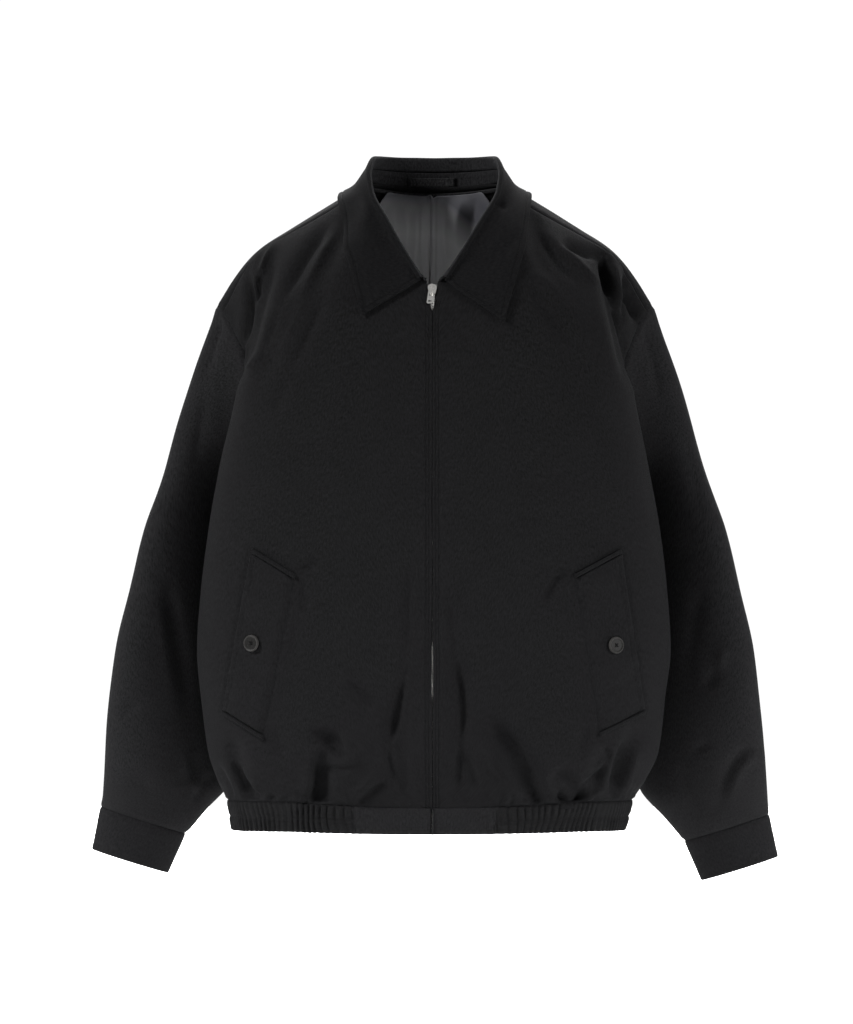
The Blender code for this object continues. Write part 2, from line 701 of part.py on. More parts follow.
def joined_tree(grids):
    points, cells = [], []
    for grid in grids:
        rows, columns = grid.shape[:2]
        first = len(points)
        points += [Vector(point) for point in grid.reshape(-1, 3)]
        for r in range(rows - 1):
            for c in range(columns - 1):
                a = first + r * columns + c
                cells.append((a, a + 1, a + 1 + columns, a + columns))
    return BVHTree.FromPolygons(points, cells)


def laid_on(tree, places, clearance, start_y=RAY_START_Y):
    """Points of the front view carried back onto a panel, and moved out from it."""
    shape = places.shape[:-1]
    points, normals = [], []
    for x, z in places.reshape(-1, 2):
        spot, normal, _, _ = tree.ray_cast(Vector((x, start_y, z)), Vector((0, 1, 0)))
        normal = normal if normal.y < 0 else -normal
        points.append(np.array(spot) + clearance * np.array(normal))
        normals.append(np.array(normal))
    return np.array(points).reshape(*shape, 3), np.array(normals).reshape(*shape, 3)


def kept_off(tree, points, clearance):
    """Points moved out until they are at least the clearance away from a surface. Those past its edge stay."""
    kept = points.copy()
    for index in np.ndindex(points.shape[:-1]):
        point = Vector(points[index])
        spot, normal, _, _ = tree.find_nearest(point)
        middle = Vector((spot.x * CORE_NARROWING, BODY_CENTRE[1], min(spot.z, 0.0) - CORE_DROP))
        normal = normal if normal.dot(spot - middle) > 0 else -normal
        away = (point - spot).dot(normal)
        past_edge = abs(away) < SQUARE_TO_FACE * (point - spot).length
        if away < clearance and not past_edge:
            kept[index] = np.array(spot + clearance * normal)
    return kept


def clear_of(tree, grid, clearance):
    """A sheet moved out until its points and the middles of its cells are clear of a surface."""
    grid = kept_off(tree, grid, clearance)
    middles = (grid[:-1, :-1] + grid[1:, :-1] + grid[:-1, 1:] + grid[1:, 1:]) / 4
    push = kept_off(tree, middles, clearance) - middles
    rows, columns = middles.shape[:2]
    for r in (0, 1):
        for c in (0, 1):
            grid[r : r + rows, c : c + columns] += push * PUSH_SHARE
    return grid


def collar_lines(stations=COLLAR_STATIONS):
    """The neck seam, the roll line and the leaf's edge, from the left end round the back to the right end."""
    fraction = np.linspace(0, 1, SEAM_POINTS)
    share = np.linspace(0, 1, stations)
    dense = np.linspace(0, 1, EDGE_POINTS)
    halves = {"seam": [], "roll": [], "edge": []}
    for side in (LEFT, RIGHT):
        seam = np.concatenate([back_neckline(fraction, side), front_neckline(fraction[::-1], side)[1:]])
        halves["seam"].append(resample(seam, share))
        for label, table in (("roll", ROLL_LINE), ("edge", LEAF_EDGE)):
            known = np.linspace(0, 1, len(table["x"]))
            line = np.stack([through(dense, known, table[axis]) for axis in "xyz"], axis=1)
            line = resample(line, share)
            front_part = ease((share - FRONT_PART_FROM) / (1 - FRONT_PART_FROM))
            line[:, 0] = side * line[:, 0] + COLLAR_SHIFT * front_part
            line[:, 2] += LEAF_LIFT[side] * front_part * (label == "edge")
            halves[label].append(line)
    return [np.concatenate([left[:0:-1], right]) for left, right in halves.values()]


def collar_grids(body_tree, stations=COLLAR_STATIONS, rows=LEAF_ROWS):
    """The visible faces of the collar's stand (towards the neck) and of its turned-over leaf."""
    seam, roll, edge = collar_lines(stations)
    rise = unit(roll - seam)
    reach = edge - roll
    out = unit(reach - (reach * rise).sum(axis=1, keepdims=True) * rise)
    join = seam + (roll - seam) * STAND_SHARE
    stand = np.stack([seam + rise * STAND_GAP, (seam + join) / 2, join - rise * SEAM_GAP])
    centre = roll - rise * ROLL_RADIUS + out * ROLL_RADIUS
    turns = np.radians(ROLL_TURNS)
    arc = [centre + out * ROLL_RADIUS * math.cos(t) + rise * ROLL_RADIUS * math.sin(t) for t in turns]
    start = arc[-1]
    span = np.linalg.norm(edge - start, axis=1, keepdims=True)
    first = start - rise * span * FALL_RISE + out * span * FALL_REACH
    last = start + (edge - start) * FALL_LAST
    falls = [
        (1 - t) ** 3 * start + 3 * t * (1 - t) ** 2 * first + 3 * t * t * (1 - t) * last + t**3 * edge
        for t in np.linspace(0, 1, rows)[1:]
    ]
    leaf = np.stack([join + rise * LEAF_GAP, *arc, *falls])
    for _ in range(LEAF_PASSES):
        inner = leaf[FALL_ROW:-1] / 2 + (leaf[FALL_ROW - 1 : -2] + leaf[FALL_ROW + 1 :]) / 4
        inner[:, 1:-1] = (inner[:, 1:-1] * 3 + inner[:, :-2] + inner[:, 2:]) / 5
        leaf[FALL_ROW:-1] = inner
        leaf[FALL_ROW:] = clear_of(body_tree, leaf[FALL_ROW:], LEAF_CLEARANCE)
    return stand, leaf


def prism(name, outline, low, high, place, finish):
    """An outline of (across, down) points, solid between two heights over its plane."""
    count = len(outline)
    points = [place @ Vector((x, t, n)) * MM for n in (low, high) for x, t in outline]
    faces = [tuple(range(count)), tuple(range(2 * count - 1, count - 1, -1))]
    faces += [(k, (k + 1) % count, (k + 1) % count + count, k + count) for k in range(count)]
    mesh = bpy.data.meshes.new(name)
    mesh.from_pydata([tuple(point) for point in points], [], faces)
    return finish_object(name, mesh, finish)


def combine(target, tool, operation):
    """Adds a hidden helper to an object, or cuts it away."""
    tool.hide_render = True
    tool.display_type = "WIRE"
    change = target.modifiers.new(tool.name, "BOOLEAN")
    change.operation = operation
    change.object = tool


def rectangle(half_width, top, bottom):
    return [(-half_width, top), (half_width, top), (half_width, bottom), (-half_width, bottom)]


clear_scene()

COTTON = material("black_cotton", (0.012, 0.012, 0.013), 0.85)
SATIN = material("grey_lining", (0.045, 0.045, 0.047), 0.5)
NICKEL = material("nickel", (0.75, 0.75, 0.73), 0.25, 1.0)
HORN = material("dark_horn", (0.05, 0.048, 0.045), 0.3)
TWILL_TAPE = material("black_tape", (0.01, 0.01, 0.01), 0.8)

fronts = {
    side: trimmed(front_grid(side), first_row=SEAM_GAP, last_column=SEAM_GAP) for side in (LEFT, RIGHT)
}
back = trimmed(back_grid(), first_row=SEAM_GAP, first_column=SEAM_GAP, last_column=SEAM_GAP)
front_trees = {side: surface_tree(fronts[side]) for side in (LEFT, RIGHT)}
body_tree = joined_tree([fronts[LEFT], fronts[RIGHT], back])


def tube_normals(tube):
    axis = tube.mean(axis=1, keepdims=True)
    normal = normals_of(tube, True)
    return normal if ((tube - axis) * normal).sum() > 0 else -normal


def make_shell():
    """The fronts, the back, the sleeves and the cuffs."""
    for side, name in SIDE_NAMES.items():
        grid = fronts[side]
        wall(f"front_{name}", grid, grid - outward(grid) * CLOTH, COTTON)
        tube = sleeve_grid(side)
        wall(f"sleeve_{name}", tube, tube - tube_normals(tube) * CLOTH, COTTON, closed=True)
        cuff = cuff_grid(side)
        wall(f"cuff_{name}", cuff, cuff - tube_normals(cuff) * BAND_CLOTH, COTTON, closed=True)
    wall("back", back, back - outward(back) * CLOTH, COTTON)


def band_angle(x, side):
    """The section angle at which the hem band's front stands at x."""
    reach = side * (x - torso_at("centre_x", HEM_SEAM_Z)) / torso_at("half_width", HEM_SEAM_Z)
    return math.degrees(math.asin(max(0.0, reach) ** (torso_at("front_power", HEM_SEAM_Z) / 2)))


def band_level(angles, side, share):
    """Points of the hem band at a share of its height."""
    top = torso_point(angles, np.full(angles.shape, HEM_SEAM_Z), side)
    edge = torso_point(angles, np.full(angles.shape, HEM_EDGE_Z), side)
    points = top + (edge - top) * share
    seam, edge_z = hem_seam_z(points[:, 0]) - 2 * SEAM_GAP, hem_edge_z(points[:, 0])
    points[:, 2] = seam + (edge_z - seam) * share
    return points


def make_hem():
    """The plain band ends beside the zip, and the elastic band round the sides and the back."""
    for side, name in SIDE_NAMES.items():
        angles = np.linspace(0, band_angle(PLAIN_BAND_X[side], side), PLAIN_BAND_COLUMNS)
        grid = np.stack([band_level(angles, side, share) for share in BAND_SHARES])
        grid[:, 0, 0] = ZIP_X + side * FRONT_GAP
        grid = trimmed(grid, last_column=SEAM_GAP)
        wall(f"hem_plain_{name}", grid, grid - outward(grid) * BAND_CLOTH, COTTON)
    halves = []
    for side in SIDE_NAMES:
        angles = np.linspace(180, band_angle(PLAIN_BAND_X[side], side), ELASTIC_HALF_COLUMNS)
        halves.append(np.stack([band_level(angles, side, share) for share in BAND_SHARES]))
    left, right = halves
    grid = np.concatenate([left[:, :0:-1], (left[:, :1] + right[:, :1]) / 2, right[:, 1:]], axis=1)
    grid = trimmed(grid, first_column=SEAM_GAP, last_column=SEAM_GAP)
    wall("hem_elastic", grid, grid - outward(grid) * BAND_CLOTH, COTTON)


def make_collar():
    """The stand, the turned-over leaf, the tape over the neck seam and the hanger loop."""
    stand, leaf = collar_grids(body_tree)
    behind = stand + outward(stand, COLLAR_CENTRE) * COLLAR_CLOTH
    behind[0] += unit(stand[1] - stand[0]) * STAND_BEVEL
    wall("collar_stand", stand, behind, COTTON)
    under = normals_of(leaf)
    facing = ((leaf[FALL_ROW:] - np.array(LEAF_CENTRE)) * under[FALL_ROW:]).sum()
    under = -under if facing > 0 else under
    wall("collar_leaf", leaf, leaf + under * COLLAR_CLOTH, COTTON)

    tree = surface_tree(stand)
    x, z = np.meshgrid(np.linspace(*LOOP_X, LOOP_STATIONS), LOOP_Z[::-1])
    places = np.stack([x, z], axis=-1)
    across = np.linspace(0, 1, LOOP_STATIONS)
    spots, normals = laid_on(tree, places, 0.0, start_y=0.0)
    bow = LOOP_GAP + LOOP_BOW * np.sin(np.pi * across) ** 0.5
    near = spots + normals * bow[None, :, None]
    wall("hanger_loop", near + normals * LOOP_CLOTH, near, TWILL_TAPE)

    neck = slice(SHOULDER_COLUMNS + NECK_TAPE_INSET, -(SHOULDER_COLUMNS + NECK_TAPE_INSET))
    top = back[0, neck]
    down = unit(back[2] - back[0])[neck]
    inward = -outward(back)[0, neck]
    face = np.stack([top + down * (NECK_TAPE_DROP + drop) for drop in (0, NECK_TAPE_HEIGHT)])
    inward = np.stack([inward, inward])
    near = face + inward * NECK_TAPE_IN
    wall("neck_tape", near, near + inward * NECK_TAPE_CLOTH, TWILL_TAPE)


def make_lining():
    """The back lining, seen through the neck. It starts below the neck, and behind the shoulder's crest."""
    middle = back.shape[1] // 2
    drops = dict(enumerate(LINING_DROPS))
    drops.update({k: LINING_SHOULDER_DROP for k in range(len(LINING_DROPS) + 1, middle, 2)})
    halves = {side: [] for side in (LEFT, RIGHT)}
    share = np.linspace(0, 1, LINING_ROWS) ** LINING_ROW_POWER
    for side, columns in halves.items():
        for k, drop in drops.items():
            column = back[:, middle + side * k]
            length = np.linalg.norm(np.diff(column, axis=0), axis=1).sum()
            columns.append(resample(column, (drop + (length - drop - LINING_END) * share) / length))
    grid = np.stack(halves[LEFT][:0:-1] + halves[RIGHT], axis=1)
    near = grid - outward(grid) * LINING_IN
    wall("lining_back", near, near - outward(near) * LINING_CLOTH, SATIN)


def flap_places(corners, across, along):
    """Front-view points over a flap: across from its free edge, along from its upper end."""
    corners = np.array(corners, float)
    u, v = np.meshgrid(across, along)
    u, v = u[..., None], v[..., None]
    top = corners[0] + (corners[1] - corners[0]) * u
    bottom = corners[3] + (corners[2] - corners[3]) * u
    return top + (bottom - top) * v


def lie_on_front(side, places):
    """Front-view places carried onto a front, and lifted clear of its facets."""
    spots, _ = laid_on(front_trees[side], places, FLAP_LIFT)
    for _ in range(FLAP_PASSES):
        spots = clear_of(front_trees[side], spots, FLAP_LIFT)
    return spots


def make_pockets():
    """Each pocket's flap, the two raised ends that hold it, and its button."""
    across = np.linspace(0, 1, FLAP_COLUMNS)
    for side, name in SIDE_NAMES.items():
        corners = FLAP_CORNERS[side]
        length = np.linalg.norm(np.subtract(corners[3], corners[0]))
        end = RIDGE_WIDTH / length
        gap = 2 * SEAM_GAP / length
        along = np.linspace(end + gap, 1 - end - gap, FLAP_ROWS)
        flap = lie_on_front(side, flap_places(corners, across, along))
        face = flap + outward(flap) * FLAP_CLOTH
        wall(f"pocket_flap_{name}", face, flap, COTTON)
        for label, span in (("upper", (0.0, end)), ("lower", (1 - end, 1.0))):
            strip = lie_on_front(side, flap_places(corners, across, span))
            wall(f"pocket_end_{label}_{name}", strip + outward(strip) * RIDGE_CLOTH, strip, COTTON)
        make_button(side, name, surface_tree(face))


def make_button(side, name, flap_tree):
    """A dished button with a rim and four holes, flat on its flap."""
    spot, normal = laid_on(flap_tree, np.array([BUTTON_AT[side]]), SEAM_GAP)
    turn = Vector(normal[0]).to_track_quat("Z", "Y").to_matrix().to_4x4()
    body = bmesh.new()
    line = [
        body.verts.new(((BUTTON_RADIUS - inset) * MM, 0, height * MM))
        for inset, height in zip(BUTTON_PROFILE["in_from_edge"], BUTTON_PROFILE["height"])
    ]
    edges = [body.edges.new(pair) for pair in zip(line, line[1:])]
    bmesh.ops.spin(
        body, geom=line + edges, axis=(0, 0, 1), cent=(0, 0, 0), angle=2 * math.pi, steps=BUTTON_SIDES
    )
    bmesh.ops.remove_doubles(body, verts=body.verts, dist=1e-6)
    mesh = bpy.data.meshes.new(f"button_{name}")
    body.to_mesh(mesh)
    body.free()
    button = finish_object(f"button_{name}", mesh, HORN)
    button.matrix_world = turn
    button.location = [value * MM for value in spot[0]]
    for k in range(4):
        around = math.radians(45 + 90 * k)
        bpy.ops.mesh.primitive_cylinder_add(
            vertices=BUTTON_HOLE_SIDES, radius=BUTTON_HOLE_RADIUS * MM, depth=4 * BUTTON_THICKNESS * MM
        )
        cutter = bpy.context.object
        cutter.name = f"button_hole_{name}_{k}"
        offset = Vector((math.cos(around), math.sin(around), 0)) * BUTTON_HOLE_RING * MM
        cutter.matrix_world = turn
        cutter.location = button.location + turn.to_3x3() @ offset
        combine(button, cutter, "DIFFERENCE")


def centre_front(high, low):
    """Points of the jacket's face on the line of the zip, between two heights."""
    line = np.concatenate([fronts[LEFT][:, 0], *(band_level(np.zeros(1), LEFT, share) for share in (0, 1))])
    between = line[(line[:, 2] < high - 2) & (line[:, 2] > low + 2), 2]
    levels = np.concatenate([[high], between, [low]])
    y = np.interp(-levels, -line[:, 2], line[:, 1])
    return np.stack([np.full(levels.shape, ZIP_X), y, levels], axis=1)


def zip_strip(line, inward, side, near, far, depth):
    """A strip beside the zip's line, between two distances from it, a depth behind the jacket's face."""
    points = line + inward * depth
    grid = np.stack([points, points], axis=1)
    grid[:, 0, 0], grid[:, 1, 0] = ZIP_X + side * near, ZIP_X + side * far
    return grid


def make_zip():
    """Two tapes, and the two rows of teeth as plain strips."""
    cloth_depth = ZIP_DEPTH + (CHAIN_THICKNESS - TAPE_CLOTH) / 2
    pieces = (
        ("zip_teeth", TEETH_TOP_Z, TEETH_GAP, CHAIN_HALF_WIDTH, ZIP_DEPTH, CHAIN_THICKNESS, NICKEL),
        ("zip_tape", TAPE_TOP_Z, CHAIN_HALF_WIDTH + 0.3, TAPE_WIDTH, cloth_depth, TAPE_CLOTH, TWILL_TAPE),
    )
    for side, name in SIDE_NAMES.items():
        for label, top, near, far, depth, thickness, finish in pieces:
            line = centre_front(top, ZIP_BOTTOM_Z)
            along = np.gradient(line, axis=0)
            inward = unit(np.stack([np.zeros(len(line)), -along[:, 2], along[:, 1]], axis=1))
            grid = zip_strip(line, inward, side, near, far, depth)
            wall(f"{label}_{name}", grid, grid + inward[:, None] * thickness, finish)


def slider_place():
    """The slider's own axes: across the zip, down its line and out from it, at the middle of the teeth."""
    high, *_, low = centre_front(SLIDER_TOP_Z, SLIDER_TOP_Z - SLIDER_LENGTH)
    down = Vector(low - high)
    down.x = 0
    down.normalize()
    across = Vector((1, 0, 0))
    out = across.cross(down)
    out = out if out.y < 0 else -out
    depth = ZIP_DEPTH + CHAIN_THICKNESS / 2
    origin = Vector((high + low) / 2) - out * depth
    origin.x = ZIP_X
    matrix = Matrix((across, down, out)).transposed().to_4x4()
    matrix.translation = origin
    return matrix


def make_slider(place):
    """The slider's two plates, the bridge between them and the bail that holds the tab."""
    outline = [(-w, t) for t, w in zip(SLIDER_OUTLINE["down"], SLIDER_OUTLINE["half_width"])]
    outline += [(-x, t) for x, t in outline[::-1]]
    half = SLIDER_THROAT / 2
    top = half + SLIDER_FACE
    slider = prism("zip_slider", outline, half, top, place, NICKEL)
    rear = prism("slider_rear", outline, -half - SLIDER_BACK, -half, place, NICKEL)
    neck = rectangle(BRIDGE_HALF_WIDTH, *BRIDGE_DOWN)
    bridge = prism("slider_bridge", neck, -half - PLATE_OVERLAP, half + PLATE_OVERLAP, place, NICKEL)
    legs = []
    for label, sign in (("upper", -1), ("lower", 1)):
        outer = sign * BAIL_LENGTH / 2
        foot = rectangle(BAIL_WIDTH / 2, *sorted((outer, outer - sign * BAIL_BAR)))
        legs.append(prism(f"bail_{label}", foot, top - PLATE_OVERLAP, top + BAIL_RISE, place, NICKEL))
    end = BAIL_LENGTH / 2 - BAIL_OVERLAP
    beam = rectangle(BAIL_WIDTH / 2 + BAIL_OVERLAP, -end, end)
    rise = top + BAIL_RISE
    bar = prism("bail_bar", beam, rise - BAIL_BAR, rise + BAIL_OVERLAP, place, NICKEL)
    for piece in (rear, bridge, *legs, bar):
        combine(slider, piece, "UNION")
    return top


def make_tab(place, top):
    """The pull tab, hung on the bail by the bar above its window; its origin is on its hinge."""
    hang = Matrix.Translation((0, TAB_TOP + TAB_PIVOT, top + TAB_LIFT + TAB_THICKNESS / 2))
    hinge = place @ hang @ Matrix.Rotation(math.radians(TAB_TILT), 4, "Z")
    hinge.translation *= MM
    edge, end = TAB_HALF_WIDTH, TAB_LENGTH - TAB_PIVOT
    outline = [
        (-edge + TAB_CORNER, -TAB_PIVOT), (edge - TAB_CORNER, -TAB_PIVOT),
        (edge, -TAB_PIVOT + TAB_CORNER), (edge, end - TAB_CORNER),
        (edge - TAB_CORNER, end), (-edge + TAB_CORNER, end),
        (-edge, end - TAB_CORNER), (-edge, -TAB_PIVOT + TAB_CORNER),
    ]
    flat = Matrix.Identity(4)
    tab = prism("pull_tab", outline, -TAB_THICKNESS / 2, TAB_THICKNESS / 2, flat, NICKEL)
    tab.matrix_world = hinge
    holes = (("tab_window", TAB_WINDOW_HALF_WIDTH, TAB_WINDOW), ("tab_slot", TAB_SLOT_HALF_WIDTH, TAB_SLOT))
    for name, half_width, (high, low) in holes:
        hole = rectangle(half_width, high - TAB_PIVOT, low - TAB_PIVOT)
        cutter = prism(name, hole, -2 * TAB_THICKNESS, 2 * TAB_THICKNESS, flat, NICKEL)
        cutter.matrix_world = hinge
        combine(tab, cutter, "DIFFERENCE")


make_shell()
make_hem()
make_collar()
make_lining()
make_pockets()
make_zip()
slider_matrix = slider_place()
make_tab(slider_matrix, make_slider(slider_matrix))
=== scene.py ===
"""The finished look of a black harrington jacket, worn and hollow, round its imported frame.

Sizes are in millimetres and are scaled to metres when a mesh is made. +X is the viewer's right, the front
faces -Y, +Z is up, and z = 0 is the height of the neck seam.
"""

import math

import bpy
import numpy as np
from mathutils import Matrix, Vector
from mathutils.bvhtree import BVHTree


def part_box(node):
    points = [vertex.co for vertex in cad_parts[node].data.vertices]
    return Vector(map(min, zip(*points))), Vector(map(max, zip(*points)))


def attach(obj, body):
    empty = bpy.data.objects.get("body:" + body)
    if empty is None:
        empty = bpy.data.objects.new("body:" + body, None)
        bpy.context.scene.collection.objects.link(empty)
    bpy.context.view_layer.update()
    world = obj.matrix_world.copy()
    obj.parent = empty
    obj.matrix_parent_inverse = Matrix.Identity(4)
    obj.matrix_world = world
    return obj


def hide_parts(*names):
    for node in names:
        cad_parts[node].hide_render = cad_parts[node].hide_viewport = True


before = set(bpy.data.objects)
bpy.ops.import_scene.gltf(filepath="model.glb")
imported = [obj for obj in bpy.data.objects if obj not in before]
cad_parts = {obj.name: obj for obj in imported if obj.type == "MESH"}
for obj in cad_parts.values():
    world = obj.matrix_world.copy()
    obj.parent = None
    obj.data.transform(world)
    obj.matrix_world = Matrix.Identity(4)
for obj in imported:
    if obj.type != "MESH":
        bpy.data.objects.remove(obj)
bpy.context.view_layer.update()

MM = 0.001
LEFT, RIGHT = -1, 1
SIDES = {LEFT: "left", RIGHT: "right"}

# Cloth
CLOTH = 1.6
BAND_CLOTH = 2.4
COLLAR_CLOTH = 2.0
LINING_CLOTH = 1.0
SEAM_GAP = 0.5

# Centre front
ZIP_X = -3.0
FRONT_GAP = 0.7
SLIDER_GAP = 5.6
SLIDER_PART_TOP = -116.0
SLIDER_PART_LENGTH = 18.0

# Torso: the widest line of each section lies at SIDE_Y; front and back are depths from it.
SIDE_Y = -40.0
CHEST_Z = -170.0
HEM_SEAM_Z = -651.0
HEM_SEAM_DIP = 5.5
HEM_DIP_START = -425.0
HEM_EDGE_Z = -683.0
HEM_EDGE_DIP = 2.0
SIDE_SEAM = {"z": (-320, -500, -651, -684), "y": (38, 32, 20, 18)}
TORSO = {
    "z": (-170, -235, -300, -364, -428, -492, -546, -599, -630, -651, -684),
    "half_width": (205, 216.5, 229.5, 241, 248, 252, 246.5, 240, 228, 215.5, 208),
    "centre_x": (1, 0, -1, -1, -1, -1, -2, -2, -4, -5.5, -7),
    "front": (104, 109, 112, 114, 116, 118, 117, 113, 104, 95, 91),
    "back": (148, 150, 148, 144, 140, 136, 133, 129, 119, 108, 102),
    "front_power": (2.7, 2.6, 2.5, 2.4, 2.4, 2.4, 2.4, 2.4, 2.4, 2.4, 2.4),
    "back_power": (3.1, 3.0, 2.8, 2.4, 2.2, 2.1, 2.1, 2.1, 2.2, 2.3, 2.3),
}

# Shoulder crest, seen from the front.
CREST = {
    "x": (60, 90, 105, 132, 158, 183, 201, 214, 224, 236),
    "z": (15.5, -2, -11, -27, -43, -59, -75, -91, -107, -125),
}
CREST_Y = 12.0
CREST_SPREAD = 9.0
NECK_EDGE_ROW = 4.0
FRONT_ARCH_POWER = 1.55
BACK_ARCH_POWER = 1.75
SHOULDER_SEAM = {"x": (70, 130, 190, 236), "forward": (36, 32, 26, 22)}
SEAM_DROP = {
    LEFT: {"x": (70, 130, 190, 236), "drop": (6.5, 5.5, 3, 2.5)},
    RIGHT: {"x": (70, 130, 190, 236), "drop": (10, 8.5, 4.5, 3)},
}

# Neckline: in plan an oval, which sinks towards the front.
NECK_HALF_WIDTH = 74.0
NECK_BACK_Y = 66.0
NECK_BACK_Z = 2.0
NECK_SIDE_ANGLE = 109.0
NECK_FRONT_Y = -113.0
NECK_FRONT_Z = -100.0
NECK_FRONT_CURVE = 0.4

# Armhole and sleeve rings. "out" is the side away from the body and "in" the side next to it.
RING_COLUMNS = ("x_out", "y_out", "z_out", "x_in", "y_in", "z_in", "depth", "hollow")
SLEEVE_RINGS = (
    (234, 10, -124, 215.5, 38, -320, 50, 27),
    (243, 15, -150, 221, 54, -326, 46, 20),
    (257, 18, -190, 220, 68, -333, 44, 12),
    (273, 20, -240, 216, 82, -343, 44, 4),
    (290, 18, -300, 211, 92, -358, 46, 0),
    (312, 9, -364, 205, 99, -390, 49, 0),
    (327, 1, -428, 203, 97, -437, 49, 0),
    (341, -6, -492, 205, 89, -493, 46, 0),
    (349.5, -4, -556, 206, 77, -555, 42, 0),
    (353.5, -1, -605, 208, 68, -603, 38, 0),
    (356, 3, -640, 221, 54, -640, 33, 0),
    (357, 7, -655, 247, 42, -669, 28, 0),
    (358, 10, -664, 267.5, 34, -693.5, 25.5, 0),
)
CUFF_HEIGHT = 46.0
CUFF_EDGE = (368, 12, -709.5, 286.5, 33, -736, 24.5, 0)
SLEEVE_LIFT = {LEFT: 4.0, RIGHT: -4.0}
ARMHOLE_SEAM_ANGLE = -20.0

# Largest folds of each front, as troughs in the front view (a negative depth is a ridge).
FOLD_COLUMNS = ("x1", "z1", "x2", "z2", "width", "depth")
FOLDS = {
    LEFT: (
        (-178, -82, -207, -190, 9, 9),
        (-84, -20, -178, -190, 11, 5),
        (-118, -585, -122, -648, 11, 8),
        (-98, -588, -112, -592, 13, 7),
        (-38, -560, -30, -640, 12, 6),
        (-215, -590, -196, -646, 9, 6),
    ),
    RIGHT: (
        (181, -72, 205, -190, 9, 10),
        (104, -35, 150, -190, 12, 5),
        (60, -570, 96, -640, 12, 8),
        (22, -500, 26, -612, 11, 4),
        (128, -622, 150, -645, 10, 7),
        (178, -600, 170, -640, 10, 6),
        (214, -580, 192, -640, 10, 6),
    ),
}

# Collar
ROLL_LINE = {
    "x": (0, 30, 52, 62, 66.5, 64, 48, 31, 11.5),
    "y": (58, 54, 39, 10, -22, -48, -79, -102, -120.5),
    "z": (36, 36.5, 37, 34.5, 18, -2, -32, -62, -94),
}
LEAF_EDGE = {
    "x": (0, 45, 79, 98.5, 100.5, 97.5, 90.5, 82, 74),
    "y": (84, 76, 52, 20, -12, -46, -84, -112, -127),
    "z": (-24, -22, -16, -9, -14, -33, -71, -111, -145.5),
}
LEAF_LIFT = {LEFT: 3.7, RIGHT: -3.7}
COLLAR_SHIFT = -2.0
STAND_SHARE = 0.55
STAND_GAP = 2.7
STAND_BEVEL = 1.8
ROLL_RADIUS = 3.3
LEAF_CLEARANCE = 4.5
LEAF_INSIDE_ROWS = 13
LEAF_FALL_ROW = 16
LOOP_X = (-29.0, 22.0)
LOOP_Z = (6.3, 15.5)
LOOP_CLOTH = 1.2
LOOP_GAP = 0.4
LOOP_BOW = 2.2
NECK_TAPE_HEIGHT = 6.0
NECK_TAPE_IN = 2.4
NECK_TAPE_CLOTH = 0.8

# Lining
LINING_IN = 6.5
LINING_NECK_DROP = 2.5
LINING_SHOULDER_DROP = 66.0
LINING_END = 12.0
LINING_PLEAT_X = -4.3
LINING_FOLD_LIMITS = (-8.0, 4.6)

# Next to the pleat this many columns on each side are split into this many, so that its fold is smooth.
LINING_CLOSE = 8
LINING_SPLIT = 7

# Pockets, seen from the front: the four corners of each flap, free upper corner first.
FLAP_CORNERS = {
    LEFT: ((-192.6, -383), (-146.6, -411), (-180.8, -585), (-224.0, -558.5)),
    RIGHT: ((194.8, -384), (146.6, -410), (173.3, -581), (220.5, -557.5)),
}
FLAP_CLOTH = 1.8
FLAP_LIFT = 1.0
RIDGE_WIDTH = 4.2
RIDGE_CLOTH = 3.2
RIDGE_BASE = 2.6
BUTTON_AT = {LEFT: (-193.0, -483.0), RIGHT: (190.0, -485.0)}
BUTTON_DISH = 0.8
BUTTON_HOLE_RING = 1.9

# Hem band
PLAIN_BAND_X = {LEFT: -88.0, RIGHT: 66.0}

# Zip
TAPE_WIDTH = 13.0
TAPE_CLOTH = 0.8
CHAIN_HALF_WIDTH = 2.6
CHAIN_THICKNESS = 1.8
TOOTH_PITCH = 2.54
TEETH_TOP_Z = -109.0
TAPE_TOP_Z = -101.5
ZIP_BOTTOM_Z = -682.0
ZIP_DEPTH = 3.3

# How finely each piece is drawn: counts of its rows and columns, the share of a panel's width below the
# neckline, and how much closer together the body's rows come towards the hem.
COLLAR_STATIONS = 17
LEAF_ROWS = 8
NECK_SHARE = 0.27
FRONT = {"neck": 40, "shoulder": 74, "upper": 66, "arm": 52, "rows": 142}
BACK = {"neck": 18, "shoulder": 62, "crest": 8, "upper": 68, "arm": 44, "rows": 96}
SLEEVE_ROWS = 186
HEM_CROWDING = 1.2
SLEEVE_COLUMNS = 120
CUFF_ROWS = 22
BAND_ROWS = 17
PLAIN_BAND_COLUMNS = 46
ELASTIC_COLUMNS = 520
LEAF_FINE_ROWS, STAND_FINE_ROWS, COLLAR_FINE_COLUMNS = 58, 16, 190
FLAP_COLUMNS, FLAP_ROWS = 27, 84
RIDGE_COLUMNS, RIDGE_ROWS = 26, 7
LOOP_COLUMNS, LOOP_ROWS = 61, 12

